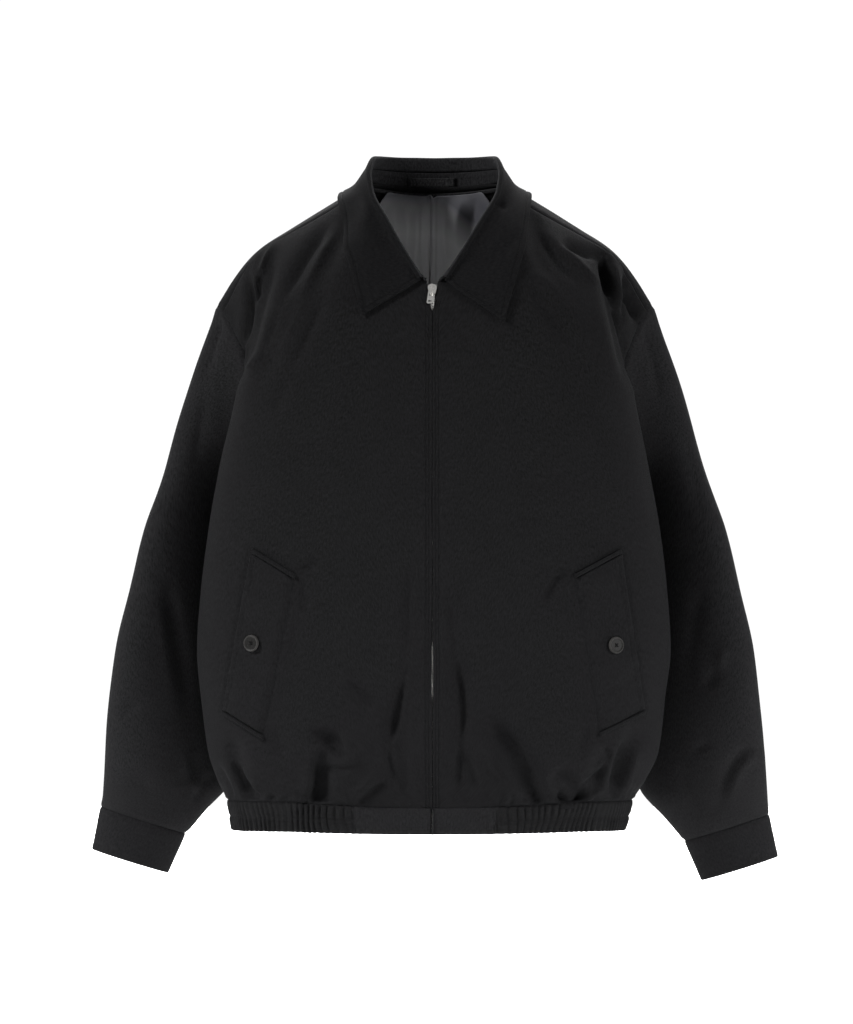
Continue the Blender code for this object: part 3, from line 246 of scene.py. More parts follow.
# Creases, seen from the front or the back: a soft trough along a bent line, or a ridge where the depth is
# negative. A lean above 0 widens the side to the left of the line's direction. A row without one has no lean.
CREASE_COLUMNS = ("x1", "z1", "xm", "zm", "x2", "z2", "width", "depth", "lean")
FRONT_CREASES = {
    LEFT: (
        (-112, -37, -137, -71, -166, -131, 7.5, 4.2),
        (-166, -131, -176, -157, -186, -183, 7.0, 2.4),
        (-104, -45, -124, -80, -150, -140, 6.5, -2.0),
        (-116, -107, -132, -148, -155, -203, 8.0, 3.0),
        (-155, -203, -163, -222, -170, -245, 8.0, 1.6),
        (-126, -100, -148, -146, -170, -190, 8.0, -1.8),
        (-183, -176, -192, -187, -202, -200, 7.0, -2.2),
        (-184, -88, -189, -103, -192, -122, 3.4, 7.0, 0.3),
        (-173, -58, -184, -88, -194, -121, 3.8, -2.6),
        (-200, -88, -199, -130, -207, -172, 4.0, 7.0),
        (-207, -165, -210, -186, -216, -205, 4.0, 5.0),
        (-26, -388, -28, -455, -30, -518, 6.0, 2.0, -0.4),
        (-30, -512, -38, -555, -47, -590, 5.0, 4.6, -0.5),
        (-47, -588, -46, -610, -37, -630, 5.0, 3.2, -0.3),
        (-134, -577, -118, -581, -98, -592, 7.0, 2.7),
        (-132, -606, -119, -593, -100, -607, 4.6, -2.6),
        (-101, -607, -90, -606, -76, -594, 5.5, -2.0),
        (-121, -612, -104, -616, -84, -610, 4.2, 2.4),
        (-126, -608, -124, -628, -129, -650, 3.0, 2.2),
        (-132, -603, -132, -625, -137, -646, 4.8, -2.6),
        (-123, -604, -122, -628, -129, -652, 5.0, 4.4, 0.4),
        (-137, -644, -146, -652, -158, -652, 4.5, -1.6),
        (-104, -527, -86, -546, -70, -560, 5.0, -1.8),
        (-96, -520, -78, -538, -64, -552, 7.0, 2.2),
        (-92, -654, -76, -634, -54, -616, 5.0, -2.2),
        (-84, -655, -68, -640, -48, -624, 5.0, 2.6),
        (-216, -601, -204, -630, -188, -652, 6.0, 5.0, 0.3),
        (-206, -604, -194, -628, -183, -642, 5.0, -2.6),
        (-232, -608, -224, -632, -210, -654, 5.0, 3.2),
        (-190, -646, -172, -655, -154, -653, 4.0, -2.4),
        (-180, -651, -170, -656, -162, -656, 3.0, 3.0),
        (-146, -410, -132, -402, -118, -392, 5.0, 2.4),
        (-140, -412, -138, -435, -137, -458, 6.0, 2.2),
        (-144, -450, -147, -475, -150, -500, 7.0, 1.6),
        (-172, -570, -164, -590, -158, -606, 8.0, 1.6),
        (-196, -644, -190, -652, -184, -645, 2.6, -1.5),
        (-183, -646, -178, -654, -171, -648, 2.6, -1.6),
        (-170, -648, -164, -655, -157, -649, 2.6, -1.5),
        (-157, -649, -150, -656, -142, -650, 2.6, -1.3),
        (-188, -640, -186, -648, -184, -655, 2.2, 2.4),
        (-172, -641, -171, -649, -170, -656, 2.2, 2.6),
        (-157, -642, -157, -650, -156, -656, 2.2, 2.2),
    ),
    RIGHT: (
        (132, -60, 154, -67, 178, -76, 5.5, 3.4, 0.3),
        (108, -44, 129, -75, 151, -100, 6.5, 3.2),
        (120, -48, 150, -78, 178, -104, 6.0, -2.0),
        (94, -94, 116, -127, 146, -170, 9.0, 3.4),
        (146, -170, 156, -182, 166, -194, 8.0, 1.4),
        (104, -84, 130, -116, 158, -152, 8.0, -1.8),
        (205, -100, 211, -120, 216, -142, 4.2, 8.0),
        (180, -70, 179, -92, 187, -121, 3.4, 7.0, 0.4),
        (187, -121, 196, -150, 205, -190, 3.6, 5.5, 0.4),
        (188, -74, 194, -100, 200, -138, 5.0, -2.6),
        (203, -86, 203, -110, 200, -142, 3.4, 4.6),
        (15, -422, 18, -470, 20, -500, 6.0, 1.8, 0.4),
        (20, -497, 28, -545, 26, -590, 5.5, 4.2, 0.5),
        (26, -588, 24, -614, 22, -640, 5.5, 2.8, 0.2),
        (31, -588, 38, -618, 46, -642, 6.0, 2.6),
        (55, -568, 90, -606, 101, -652, 9.5, 5.6),
        (50, -590, 70, -622, 94, -648, 5.0, -3.0),
        (98, -632, 106, -648, 108, -655, 4.5, 3.6),
        (130, -632, 142, -650, 160, -630, 4.5, 5.2, -0.4),
        (158, -632, 180, -612, 176, -588, 4.6, 4.6, -0.4),
        (140, -650, 160, -648, 182, -632, 4.0, -2.6),
        (182, -596, 180, -616, 176, -636, 5.0, -2.6),
        (203, -579, 194, -616, 186, -648, 5.5, 5.2, 0.3),
        (214, -590, 206, -622, 194, -650, 5.0, -2.2),
        (146, -408, 124, -418, 113, -455, 6.0, 3.0, 0.4),
        (155, -425, 160, -450, 163, -480, 7.0, 1.4),
        (160, -563, 156, -586, 152, -608, 8.0, 1.8),
        (170, -522, 188, -528, 208, -518, 4.0, 1.0),
        (118, -648, 126, -655, 134, -649, 2.6, -1.4),
        (134, -649, 142, -656, 150, -650, 2.6, -1.5),
        (150, -650, 158, -656, 167, -650, 2.6, -1.4),
        (168, -648, 176, -654, 184, -645, 2.6, -1.4),
        (134, -640, 134, -648, 134, -656, 2.2, 2.4),
        (150, -641, 151, -649, 151, -656, 2.2, 2.6),
        (168, -640, 168, -648, 167, -655, 2.2, 2.4),
    ),
}
BACK_CREASES = (
    (-186, -92, -168, -140, -132, -196, 9.0, 3.4),
    (-194, -120, -182, -170, -160, -226, 8.0, -2.4),
    (186, -96, 166, -150, 138, -206, 9.0, 3.2),
    (194, -124, 180, -176, 156, -232, 8.0, -2.2),
    (-206, -190, -178, -236, -150, -300, 10.0, 3.0),
    (204, -196, 182, -246, 158, -290, 10.0, 2.6),
    (-58, -520, -70, -590, -64, -648, 9.0, 5.0, 0.3),
    (-96, -560, -112, -610, -104, -650, 8.0, 4.6),
    (-150, -600, -160, -630, -152, -652, 7.0, 5.0, 0.2),
    (-190, -590, -196, -620, -186, -650, 7.0, 4.0),
    (-24, -585, -18, -620, -22, -650, 8.0, 3.6),
    (32, -540, 40, -600, 34, -650, 9.0, 4.4, -0.3),
    (76, -575, 86, -616, 80, -650, 7.5, 5.0),
    (124, -560, 136, -612, 126, -652, 9.0, 4.8),
    (170, -596, 178, -628, 168, -652, 7.0, 4.6),
    (200, -580, 204, -620, 190, -650, 6.0, 3.6),
    (-80, -600, -88, -626, -84, -650, 5.0, -2.6),
    (58, -606, 62, -630, 58, -650, 5.0, -2.6),
    (-130, -610, -136, -632, -130, -650, 5.0, -2.6),
    (104, -610, 108, -632, 102, -650, 5.0, -2.6),
)
SLEEVE_CREASES = {
    LEFT: (
        (-222, -127, -238, -164, -245, -204, 6.0, 4.0),
        (-245, -204, -250, -250, -258, -300, 8.0, 2.0),
        (-202, -90, -204, -120, -206, -152, 4.5, -2.4),
        (-228, -132, -222, -142, -216, -150, 4.0, -1.6),
        (-286, -417, -274, -477, -262, -572, 11.0, 4.0, -0.4),
        (-296, -430, -286, -500, -276, -560, 9.0, -1.8),
        (-338, -558, -326, -555, -314, -551, 6.0, 1.8),
        (-254, -600, -258, -622, -262, -640, 6.0, 3.0),
        (-268, -600, -262, -626, -250, -646, 5.0, -1.8),
        (-240, -620, -248, -640, -262, -660, 5.0, 2.6),
        (-300, -640, -316, -632, -334, -630, 7.0, 1.4),
    ),
    RIGHT: (
        (222, -132, 232, -175, 240, -230, 7.0, 2.6),
        (268, -250, 276, -300, 286, -350, 10.0, 1.6),
        (304, -505, 296, -520, 288, -535, 7.0, 2.4),
        (312, -488, 304, -505, 300, -520, 6.0, -1.8),
        (346, -596, 318, -612, 304, -660, 6.0, 3.0),
        (350, -604, 326, -622, 314, -664, 6.0, -1.6),
        (272, -602, 284, -596, 294, -588, 6.0, 1.8),
        (262, -610, 272, -640, 290, -668, 6.0, 2.0),
        (286, -420, 276, -470, 268, -540, 10.0, 2.4),
    ),
}
SLEEVE_BACK_CREASES = (
    (226, -150, 240, -200, 244, -256, 8.0, 3.0),
    (300, -330, 270, -368, 232, -380, 9.0, 3.4, 0.3),
    (312, -372, 280, -408, 236, -412, 9.0, 3.0, 0.3),
    (320, -420, 296, -446, 262, -450, 8.0, -2.2),
    (300, -500, 286, -552, 270, -600, 9.0, 2.6),
    (340, -560, 318, -600, 300, -652, 7.0, 2.8),
    (262, -610, 276, -640, 292, -664, 6.0, 2.4),
)
LEAF_CREASES = (
    (30, -78, 72, -66, 90, -34, 7.0, 1.6),
    (60, -14, 70, -18, 78, -22, 4.0, 1.2),
    (-30, -70, -62, -50, -84, -30, 9.0, 1.0),
)
LINING_CREASES = (
    (-6, -2, -14, -40, -12, -100, 7.0, 3.4),
    (-38, -6, -30, -34, -36, -70, 8.0, 3.0),
    (-52, -10, -46, -40, -50, -80, 7.0, -2.4),
    (-22, -8, -20, -44, -26, -90, 5.0, -2.2),
    (14, -6, 10, -40, 16, -90, 6.0, 3.0),
    (32, -6, 24, -36, 30, -84, 7.0, -2.2),
    (46, -10, 40, -44, 44, -90, 7.0, 2.8),
)

# How the tables above are read: gains on every trough and ridge, and the shape of a trough across its line.
CREASE_GAIN = 1.9
RIDGE_GAIN = 2.2
SLEEVE_GAIN = 0.7
CREASE_NARROWING = 0.95
CREASE_POWER = 1.5
CREASE_STEPS = 26

# The phase of each front's slow unevenness, which makes the two differ.
FRONT_PHASE = {LEFT: 0.7, RIGHT: 2.9}

# The gathered hem: folds this far apart, drawn up this much by the band, round a body of this radius.
HEM_RADIUS = 165.0
GATHER_PITCH = 6.2
GATHER_DEPTH = 1.9
BAND_GATHER = 1.9

# Seams: the dip beside each, and the allowances turned in behind a neighbour.
SEAM_SINK = 1.1
SEAM_WIDTH = 1.7
TUCK = 6.0
TUCK_DEPTH = 1.8
TUCK_SIDE = 7.0
TUCK_SIDE_DEPTH = 2.2
EDGE_TRIM = 0.12

# The trough in the front beside each pocket flap's free edge.
FLAP_TROUGH = 1.9
FLAP_TROUGH_AT = 1.2
FLAP_TROUGH_WIDTH = 2.0

# Rows of stitches: their distances from an edge, and the trough and upper end of those beside the zip.
COLLAR_STITCH = 6.0
PLACKET_STITCHES = (3.4, 7.0)
PLACKET_TROUGH = 0.75
PLACKET_TROUGH_WIDTH = 0.8
PLACKET_TOP_Z = -120
FLAP_FREE_STITCH = 6.0
FLAP_SEWN_STITCH = 2.5

# The row of the elastic band's grid that its stitches follow.
BAND_STITCH_ROW = 10

# A stitch is a bead of this many sides. Each ring: how far along, the share of the full radius, and the rise.
BEAD_SIDES = 5
BEAD_RINGS = ((0.0, 0.45, -0.9), (0.18, 1.0, 0.1), (0.82, 1.0, 0.1), (1.0, 0.45, -0.9))

# A cloth edge draws in by this share of its thickness, within half the thickness of the edge. The ends of a
# sleeve or cuff are rounded as though its rows lay this far apart.
EDGE_ROUND = 0.42
TUBE_ROW = 1.6

# Blender's wave texture repeats every 0.314 units at a scale of 1.
WAVE_PERIOD = 0.314

# The camera's view
VIEW_X, VIEW_Z = -9.1, -344.5
VIEW_HEIGHT = 1095.7
VIEW_DISTANCE = 9000.0
FLOOR_Z = -905.0


def through(at, known, values):
    """A smooth curve through a table's values that never overshoots them."""
    known = np.asarray(known, float)
    values = np.asarray(values, float)
    if known[0] > known[-1]:
        known, values = known[::-1], values[::-1]
    at = np.clip(at, known[0], known[-1])
    step = np.diff(known)
    slope = np.diff(values) / step
    both = slope[:-1] * slope[1:] > 0
    total = np.where(both, slope[:-1] + slope[1:], 1.0)
    inner = np.where(both, 2 * slope[:-1] * slope[1:] / total, 0.0)
    slopes = np.concatenate([slope[:1], inner, slope[-1:]])
    cell = np.clip(np.searchsorted(known, at, side="right") - 1, 0, len(step) - 1)
    t = (at - known[cell]) / step[cell]
    rise = (3 - 2 * t) * t * t
    start = t * (1 - t) ** 2 * step[cell] * slopes[cell]
    end = t * t * (t - 1) * step[cell] * slopes[cell + 1]
    return values[cell] * (1 - rise) + values[cell + 1] * rise + start + end


def unit(vectors):
    return vectors / np.maximum(np.linalg.norm(vectors, axis=-1, keepdims=True), 1e-9)


def ease(t):
    t = np.clip(t, 0.0, 1.0)
    return t * t * (3 - 2 * t)


def resample(points, fractions):
    """Points at the given fractions of a polyline's length."""
    points = np.asarray(points, float)
    steps = np.linalg.norm(np.diff(points, axis=0), axis=1)
    length = np.concatenate([[0.0], np.cumsum(steps)])
    at = np.asarray(fractions) * length[-1]
    return np.stack([np.interp(at, length, points[:, k]) for k in range(3)], axis=1)


def torso_at(name, z):
    """One measure of the torso's section at a height."""
    return through(z, TORSO["z"], TORSO[name])


def torso_point(angle, z, side):
    """A point of the section at z: 0 degrees is centre front, 90 the widest line and 180 centre back."""
    turn = np.radians(angle)
    ahead = np.cos(turn) >= 0
    power = np.where(ahead, torso_at("front_power", z), torso_at("back_power", z))
    depth = np.where(ahead, torso_at("front", z), torso_at("back", z))
    x = torso_at("centre_x", z) + side * torso_at("half_width", z) * np.abs(np.sin(turn)) ** (2 / power)
    y = SIDE_Y - np.sign(np.cos(turn)) * depth * np.abs(np.cos(turn)) ** (2 / power)
    return np.stack([x, y, np.broadcast_to(z, x.shape)], axis=-1)


def crest_z(x):
    """The height of the shoulder line."""
    return through(np.abs(x), CREST["x"], CREST["z"])


def ring_point(row, angle, side):
    """A point of a sleeve ring: 0 degrees is its outer side, 90 its back, 180 the underarm, 270 its front."""
    ring = dict(zip(RING_COLUMNS, row))
    turn = np.radians(angle)
    outer = np.array([ring["x_out"], ring["y_out"], ring["z_out"]], float)
    inner = np.array([ring["x_in"], ring["y_in"], ring["z_in"]], float)
    middle, reach = (outer + inner) / 2, (outer - inner) / 2
    point = middle + np.multiply.outer(np.cos(turn), reach)
    point[..., 1] += ring["depth"] * np.sin(turn)
    point[..., 0] -= ring["hollow"] * np.abs(np.sin(turn)) ** 1.4
    point[..., 0] *= side
    return point


def shoulder_seam(fraction, side):
    """The shoulder seam, from the neck to the armhole."""
    start = neck_side_x()
    end = abs(ring_point(SLEEVE_RINGS[0], ARMHOLE_SEAM_ANGLE, side)[0])
    x = start + (end - start) * np.asarray(fraction, float)
    forward = through(x, SHOULDER_SEAM["x"], SHOULDER_SEAM["forward"])
    drop = through(x, SEAM_DROP[side]["x"], SEAM_DROP[side]["drop"])
    seam = np.stack([side * x, CREST_Y - forward, crest_z(x) - drop], axis=-1)
    meet = ring_point(SLEEVE_RINGS[0], ARMHOLE_SEAM_ANGLE, side)
    pull = ease((np.asarray(fraction) - 0.75) / 0.25)[..., None]
    return seam + pull * (meet - shoulder_end(side))


def shoulder_end(side):
    """The end of the shoulder line, before the seam is drawn to the armhole."""
    x = abs(ring_point(SLEEVE_RINGS[0], ARMHOLE_SEAM_ANGLE, side)[0])
    forward = through(x, SHOULDER_SEAM["x"], SHOULDER_SEAM["forward"])
    drop = through(x, SEAM_DROP[side]["x"], SEAM_DROP[side]["drop"])
    return np.array([side * x, CREST_Y - forward, crest_z(x) - drop])


def neck_side_x():
    """How far out the neckline meets the shoulder seam."""
    return NECK_HALF_WIDTH * math.sin(math.radians(NECK_SIDE_ANGLE))


def back_neckline(fraction, side):
    """From centre back to the shoulder seam."""
    fraction = np.asarray(fraction, float)
    turn = np.radians(NECK_SIDE_ANGLE * fraction)
    x = NECK_HALF_WIDTH * np.sin(turn)
    end = shoulder_seam(0.0, side)
    cosine = np.cos(turn)
    last = math.cos(math.radians(NECK_SIDE_ANGLE))
    y = np.where(cosine > 0, NECK_BACK_Y * cosine, end[1] * cosine / last)
    crest = float(crest_z(NECK_HALF_WIDTH))
    behind = np.clip((y - CREST_Y) / (NECK_BACK_Y - CREST_Y), 0, 1)
    ahead = np.clip((CREST_Y - y) / (CREST_Y - end[1]), 0, 1)
    z = crest - (crest - NECK_BACK_Z) * behind**2 - (crest - end[2]) * ahead**2
    return np.stack([side * x, y, z], axis=-1)


def front_neckline(fraction, side):
    """From centre front to the shoulder seam."""
    turn = np.radians(90 * (1 - np.asarray(fraction, float)))
    start = np.array([ZIP_X + side * front_gap(NECK_FRONT_Z), NECK_FRONT_Y, NECK_FRONT_Z])
    end = shoulder_seam(0.0, side)
    straight = turn / (math.pi / 2)
    towards_start = straight + (np.sin(turn) - straight) * NECK_FRONT_CURVE
    towards_end = 1 - straight + (np.cos(turn) - 1 + straight) * NECK_FRONT_CURVE
    x = start[0] + (end[0] - start[0]) * towards_end
    y = end[1] + (start[1] - end[1]) * towards_start
    z = end[2] + (start[2] - end[2]) * towards_start
    return np.stack([x, y, z], axis=-1)


def front_gap(z):
    """Half the gap between the fronts: they part round the zip's slider."""
    part = ease((z - SLIDER_PART_TOP + SLIDER_PART_LENGTH) / SLIDER_PART_LENGTH)
    return FRONT_GAP + (SLIDER_GAP - FRONT_GAP) * part


def hem_seam_z(x):
    """The height of the seam above the hem band, which dips in the middle."""
    return HEM_SEAM_Z - HEM_SEAM_DIP * np.clip(1 - (np.abs(x) / 150.0) ** 2, 0, 1)


def hem_edge_z(x):
    """The height of the jacket's lower edge, which dips in the middle."""
    return HEM_EDGE_Z - HEM_EDGE_DIP * np.clip(1 - (np.abs(x) / 150.0) ** 2, 0, 1)


def join_to_seam(row, seam_point, reach=42.0):
    """Ends a row of points on a seam, moving only what lies within reach of it."""
    steps = np.linalg.norm(np.diff(row, axis=0), axis=1)
    left = np.concatenate([np.cumsum(steps[::-1])[::-1], [0.0]])
    return row + ease(1 - left / reach)[:, None] * (seam_point - row[-1])


def section_end_angle(z, seam_y):
    """The section angle at which the torso is as far back as a seam point."""
    if seam_y <= SIDE_Y:
        return 90.0
    ratio = (seam_y - SIDE_Y) / torso_at("back", z)
    return 90.0 + math.degrees(math.asin(min(1.0, ratio ** (torso_at("back_power", z) / 2))))


def torso_row(z, side, fractions, ahead, seam=None):
    """One level of a front (zip to side) or of half the back (centre back to side), down to a seam point."""
    z = float(z)
    seam_y = through(z, SIDE_SEAM["z"], SIDE_SEAM["y"]) if seam is None else seam[1]
    end = section_end_angle(z, seam_y)
    if ahead:
        edge = side * (ZIP_X - torso_at("centre_x", z)) + front_gap(z)
        reach = max(0.0, edge / torso_at("half_width", z))
        start = math.degrees(math.asin(reach ** (torso_at("front_power", z) / 2)))
    else:
        start = 180.0
    angles = np.linspace(start, end, 400)
    dense = torso_point(angles, np.full(angles.shape, z), side)
    if ahead:
        dense[0, 0] = ZIP_X + side * front_gap(z)
    if seam is not None:
        dense = join_to_seam(dense, seam)
    return resample(dense, fractions)


def drop_curve(top, chest, power, count=60):
    """From the shoulder or neckline down to the chest, along an arch that stands on the crest line."""
    lean = max(0.0, (top[1] - CREST_Y) / (chest[1] - CREST_Y))
    turn = np.linspace(math.asin(lean ** (power / 2)), math.pi / 2, count)
    reach = np.sin(turn) ** (2 / power)
    height = np.maximum(np.cos(turn), 0.0) ** (2 / power)
    ahead = (reach - lean) / (1 - lean)
    down = 1 - height / height[0]
    x = top[0] + (chest[0] - top[0]) * down
    y = top[1] + (chest[1] - top[1]) * ahead
    z = top[2] + (chest[2] - top[2]) * down
    return np.stack([x, y, z], axis=1)


def over_crest(top, spread, side, count=14):
    """From the shoulder seam up and back over the crest, a little wider there."""
    share = np.linspace(0, 1, count)
    x = abs(top[0]) + spread * share
    crest_height = crest_z(x[-1])
    y = top[1] + (CREST_Y - top[1]) * share
    return np.stack([side * x, y, crest_height - (crest_height - top[2]) * (1 - share) ** 2], axis=1)


def fold_depth(points, side):
    """How far the largest folds push each point of a front inwards."""
    depth = np.zeros(points.shape[:-1])
    for row in FOLDS[side]:
        fold = dict(zip(FOLD_COLUMNS, row))
        start = np.array([fold["x1"], fold["z1"]])
        along = np.array([fold["x2"], fold["z2"]]) - start
        length = np.linalg.norm(along)
        offset = points[..., [0, 2]] - start
        run = (offset @ along) / length**2
        across = (offset[..., 0] * along[1] - offset[..., 1] * along[0]) / length
        fade = ease((run + 0.25) / 0.4) * ease((1.25 - run) / 0.4)
        depth += fold["depth"] * np.exp(-((across / fold["width"]) ** 2)) * fade
    return depth


def normals_of(grid, closed=False):
    """Unit normals of a grid of points (rows, columns, 3)."""
    if closed:
        across = (np.roll(grid, -1, axis=1) - np.roll(grid, 1, axis=1)) / 2
    else:
        across = np.gradient(grid, axis=1)
    along = np.gradient(grid, axis=0)
    normal = np.cross(across, along)
    return normal / np.maximum(np.linalg.norm(normal, axis=-1, keepdims=True), 1e-9)


def column_fractions(neck, shoulder, neck_share):
    """Where a panel's columns stand across the chest: first those under the neckline, then the rest."""
    first = np.linspace(0, neck_share, neck + 1)
    rest = neck_share + (1 - neck_share) * (np.linspace(0, 1, shoulder + 1)[1:]) ** 0.9
    return np.concatenate([first, rest])


def body_levels(rows):
    """Heights from the underarm to the hem seam, closer together near the hem."""
    share = 1 - (1 - np.linspace(0, 1, rows + 1)[1:]) ** HEM_CROWDING
    return SLEEVE_RINGS[0][5] + (HEM_SEAM_Z - SLEEVE_RINGS[0][5]) * share


def to_hem(grid):
    """Sinks the lower rows to the hem seam, which dips at centre front and centre back."""
    sink = ease((HEM_DIP_START - grid[..., 2]) / (HEM_DIP_START - HEM_SEAM_Z))
    grid[..., 2] += sink * (hem_seam_z(grid[..., 0]) - HEM_SEAM_Z)
    return grid


def trimmed(grid, first_row=0.0, last_row=0.0, first_column=0.0, last_column=0.0):
    """A grid whose edges are drawn in, to leave a gap at its seams."""
    grid = grid.copy()
    grid[0] += unit(grid[1] - grid[0]) * first_row
    grid[-1] += unit(grid[-2] - grid[-1]) * last_row
    grid[:, 0] += unit(grid[:, 1] - grid[:, 0]) * first_column
    grid[:, -1] += unit(grid[:, -2] - grid[:, -1]) * last_column
    return grid


def outward(grid, closed=False, centre=None):
    """Normals turned away from a point inside the garment."""
    normal = normals_of(grid, closed)
    centre = np.array([0.0, -20.0, -300.0]) if centre is None else centre
    facing = ((grid - centre) * normal).sum(axis=-1).mean()
    return normal if facing > 0 else -normal


def surface_tree(grid):
    """A search tree for one grid."""
    return joined_tree([grid])


def joined_tree(grids):
    """A search tree for several grids."""
    points, cells = [], []
    for grid in grids:
        rows, columns = grid.shape[:2]
        first = len(points)
        points += [Vector(point) for point in grid.reshape(-1, 3)]
        for r in range(rows - 1):
            for c in range(columns - 1):
                a = first + r * columns + c
                cells.append((a, a + 1, a + 1 + columns, a + columns))
    return BVHTree.FromPolygons(points, cells)


def laid_on(tree, places, clearance, start_y=-400.0):
    """Points of the front view carried back onto a panel, and moved out from it."""
    shape = places.shape[:-1]
    points, normals = [], []
    for x, z in places.reshape(-1, 2):
        spot, normal, _, _ = tree.ray_cast(Vector((x, start_y, z)), Vector((0, 1, 0)))
        normal = normal if normal.y < 0 else -normal
        points.append(np.array(spot) + clearance * np.array(normal))
        normals.append(np.array(normal))
    return np.array(points).reshape(*shape, 3), np.array(normals).reshape(*shape, 3)


def kept_off(tree, points, clearance):
    """Points moved out until they are the clearance away from a surface. Those past its edge stay."""
    kept = points.copy()
    for index in np.ndindex(points.shape[:-1]):
        point = Vector(points[index])
        spot, normal, _, _ = tree.find_nearest(point)
        middle = Vector((spot.x * 0.2, -20.0, min(spot.z, 0.0) - 150.0))
        normal = normal if normal.dot(spot - middle) > 0 else -normal
        away = (point - spot).dot(normal)
        past_edge = abs(away) < 0.8 * (point - spot).length
        if away < clearance and not past_edge:
            kept[index] = np.array(spot + clearance * normal)
    return kept


def clear_of(tree, grid, clearance):
    """A sheet moved out until its points and the middles of its cells are clear of a surface."""
    grid = kept_off(tree, grid, clearance)
    middles = (grid[:-1, :-1] + grid[1:, :-1] + grid[:-1, 1:] + grid[1:, 1:]) / 4
    push = kept_off(tree, middles, clearance) - middles
    rows, columns = middles.shape[:2]
    for r in (0, 1):
        for c in (0, 1):
            grid[r : r + rows, c : c + columns] += push * 0.4
    return grid


def collar_lines():
    """The neck seam, the roll line and the leaf's edge, from the left end round the back to the right."""
    fraction = np.linspace(0, 1, 40)
    share = np.linspace(0, 1, COLLAR_STATIONS)
    dense = np.linspace(0, 1, 200)
    halves = {"seam": [], "roll": [], "edge": []}
    for side in (LEFT, RIGHT):
        seam = np.concatenate([back_neckline(fraction, side), front_neckline(fraction[::-1], side)[1:]])
        halves["seam"].append(resample(seam, share))
        for label, table in (("roll", ROLL_LINE), ("edge", LEAF_EDGE)):
            known = np.linspace(0, 1, len(table["x"]))
            line = np.stack([through(dense, known, table[axis]) for axis in "xyz"], axis=1)
            line = resample(line, share)
            front_part = ease((share - 0.4) / 0.6)
            line[:, 0] = side * line[:, 0] + COLLAR_SHIFT * front_part
            line[:, 2] += LEAF_LIFT[side] * front_part * (label == "edge")
            halves[label].append(line)
    return [np.concatenate([left[:0:-1], right]) for left, right in halves.values()]


def collar_grids(body_tree):
    """The visible faces of the collar's stand (towards the neck) and of its turned-over leaf."""
    seam, roll, edge = collar_lines()
    rise = unit(roll - seam)
    reach = edge - roll
    out = unit(reach - (reach * rise).sum(axis=1, keepdims=True) * rise)
    join = seam + (roll - seam) * STAND_SHARE
    stand = np.stack([seam + rise * STAND_GAP, (seam + join) / 2, join - rise * SEAM_GAP])
    centre = roll - rise * ROLL_RADIUS + out * ROLL_RADIUS
    turns = np.radians((180, 135, 90, 45, 0))
    arc = [centre + out * ROLL_RADIUS * math.cos(t) + rise * ROLL_RADIUS * math.sin(t) for t in turns]
    start = arc[-1]
    span = np.linalg.norm(edge - start, axis=1, keepdims=True)
    first = start - rise * span * 0.13 + out * span * 0.2
    last = start + (edge - start) * 0.62
    falls = [
        (1 - t) ** 3 * start + 3 * t * (1 - t) ** 2 * first + 3 * t * t * (1 - t) * last + t**3 * edge
        for t in np.linspace(0, 1, LEAF_ROWS)[1:]
    ]
    leaf = np.stack([join + rise * 0.3, *arc, *falls])
    for _ in range(4):
        inner = leaf[6:-1] * 0.5 + (leaf[5:-2] + leaf[7:]) * 0.25
        inner[:, 1:-1] = inner[:, 1:-1] * 0.6 + (inner[:, :-2] + inner[:, 2:]) * 0.2
        leaf[6:-1] = inner
        leaf[6:] = clear_of(body_tree, leaf[6:], LEAF_CLEARANCE)
    return stand, leaf


def tube_normals(tube):
    """Normals of a tube, turned away from its axis."""
    axis = tube.mean(axis=1, keepdims=True)
    normal = normals_of(tube, True)
    return normal if ((tube - axis) * normal).sum() > 0 else -normal


def band_angle(x, side):
    """The section angle at which the hem band's front stands at x."""
    reach = side * (x - torso_at("centre_x", HEM_SEAM_Z)) / torso_at("half_width", HEM_SEAM_Z)
    return math.degrees(math.asin(max(0.0, reach) ** (torso_at("front_power", HEM_SEAM_Z) / 2)))


def band_level(angles, side, share):
    """Points of the hem band at a share of its height."""
    top = torso_point(angles, np.full(angles.shape, HEM_SEAM_Z), side)
    edge = torso_point(angles, np.full(angles.shape, HEM_EDGE_Z), side)
    points = top + (edge - top) * share
    seam, edge_z = hem_seam_z(points[:, 0]) - 2 * SEAM_GAP, hem_edge_z(points[:, 0])
    points[:, 2] = seam + (edge_z - seam) * share
    return points


def flap_places(corners, across, along):
    """Front-view points over a flap: across from its free edge, along from its upper end."""
    corners = np.array(corners, float)
    u, v = np.meshgrid(across, along)
    u, v = u[..., None], v[..., None]
    top = corners[0] + (corners[1] - corners[0]) * u
    bottom = corners[3] + (corners[2] - corners[3]) * u
    return top + (bottom - top) * v


def centre_front(high, low):
    """Points of the jacket's face on the line of the zip, between two heights."""
    line = np.concatenate([fronts[LEFT][:, 0], *(band_level(np.zeros(1), LEFT, share) for share in (0, 1))])
    between = line[(line[:, 2] < high - 2) & (line[:, 2] > low + 2), 2]
    levels = np.concatenate([[high], between, [low]])
    y = np.interp(-levels, -line[:, 2], line[:, 1])
    return np.stack([np.full(levels.shape, ZIP_X), y, levels], axis=1)


def along_rows(grid):
    """Distance of each point from the first row, down its own column."""
    steps = np.linalg.norm(np.diff(grid, axis=0), axis=-1)
    return np.concatenate([np.zeros((1, grid.shape[1])), np.cumsum(steps, axis=0)])


def along_columns(grid):
    """Distance of each point from the first column, along its own row."""
    return along_rows(np.swapaxes(grid, 0, 1)).T


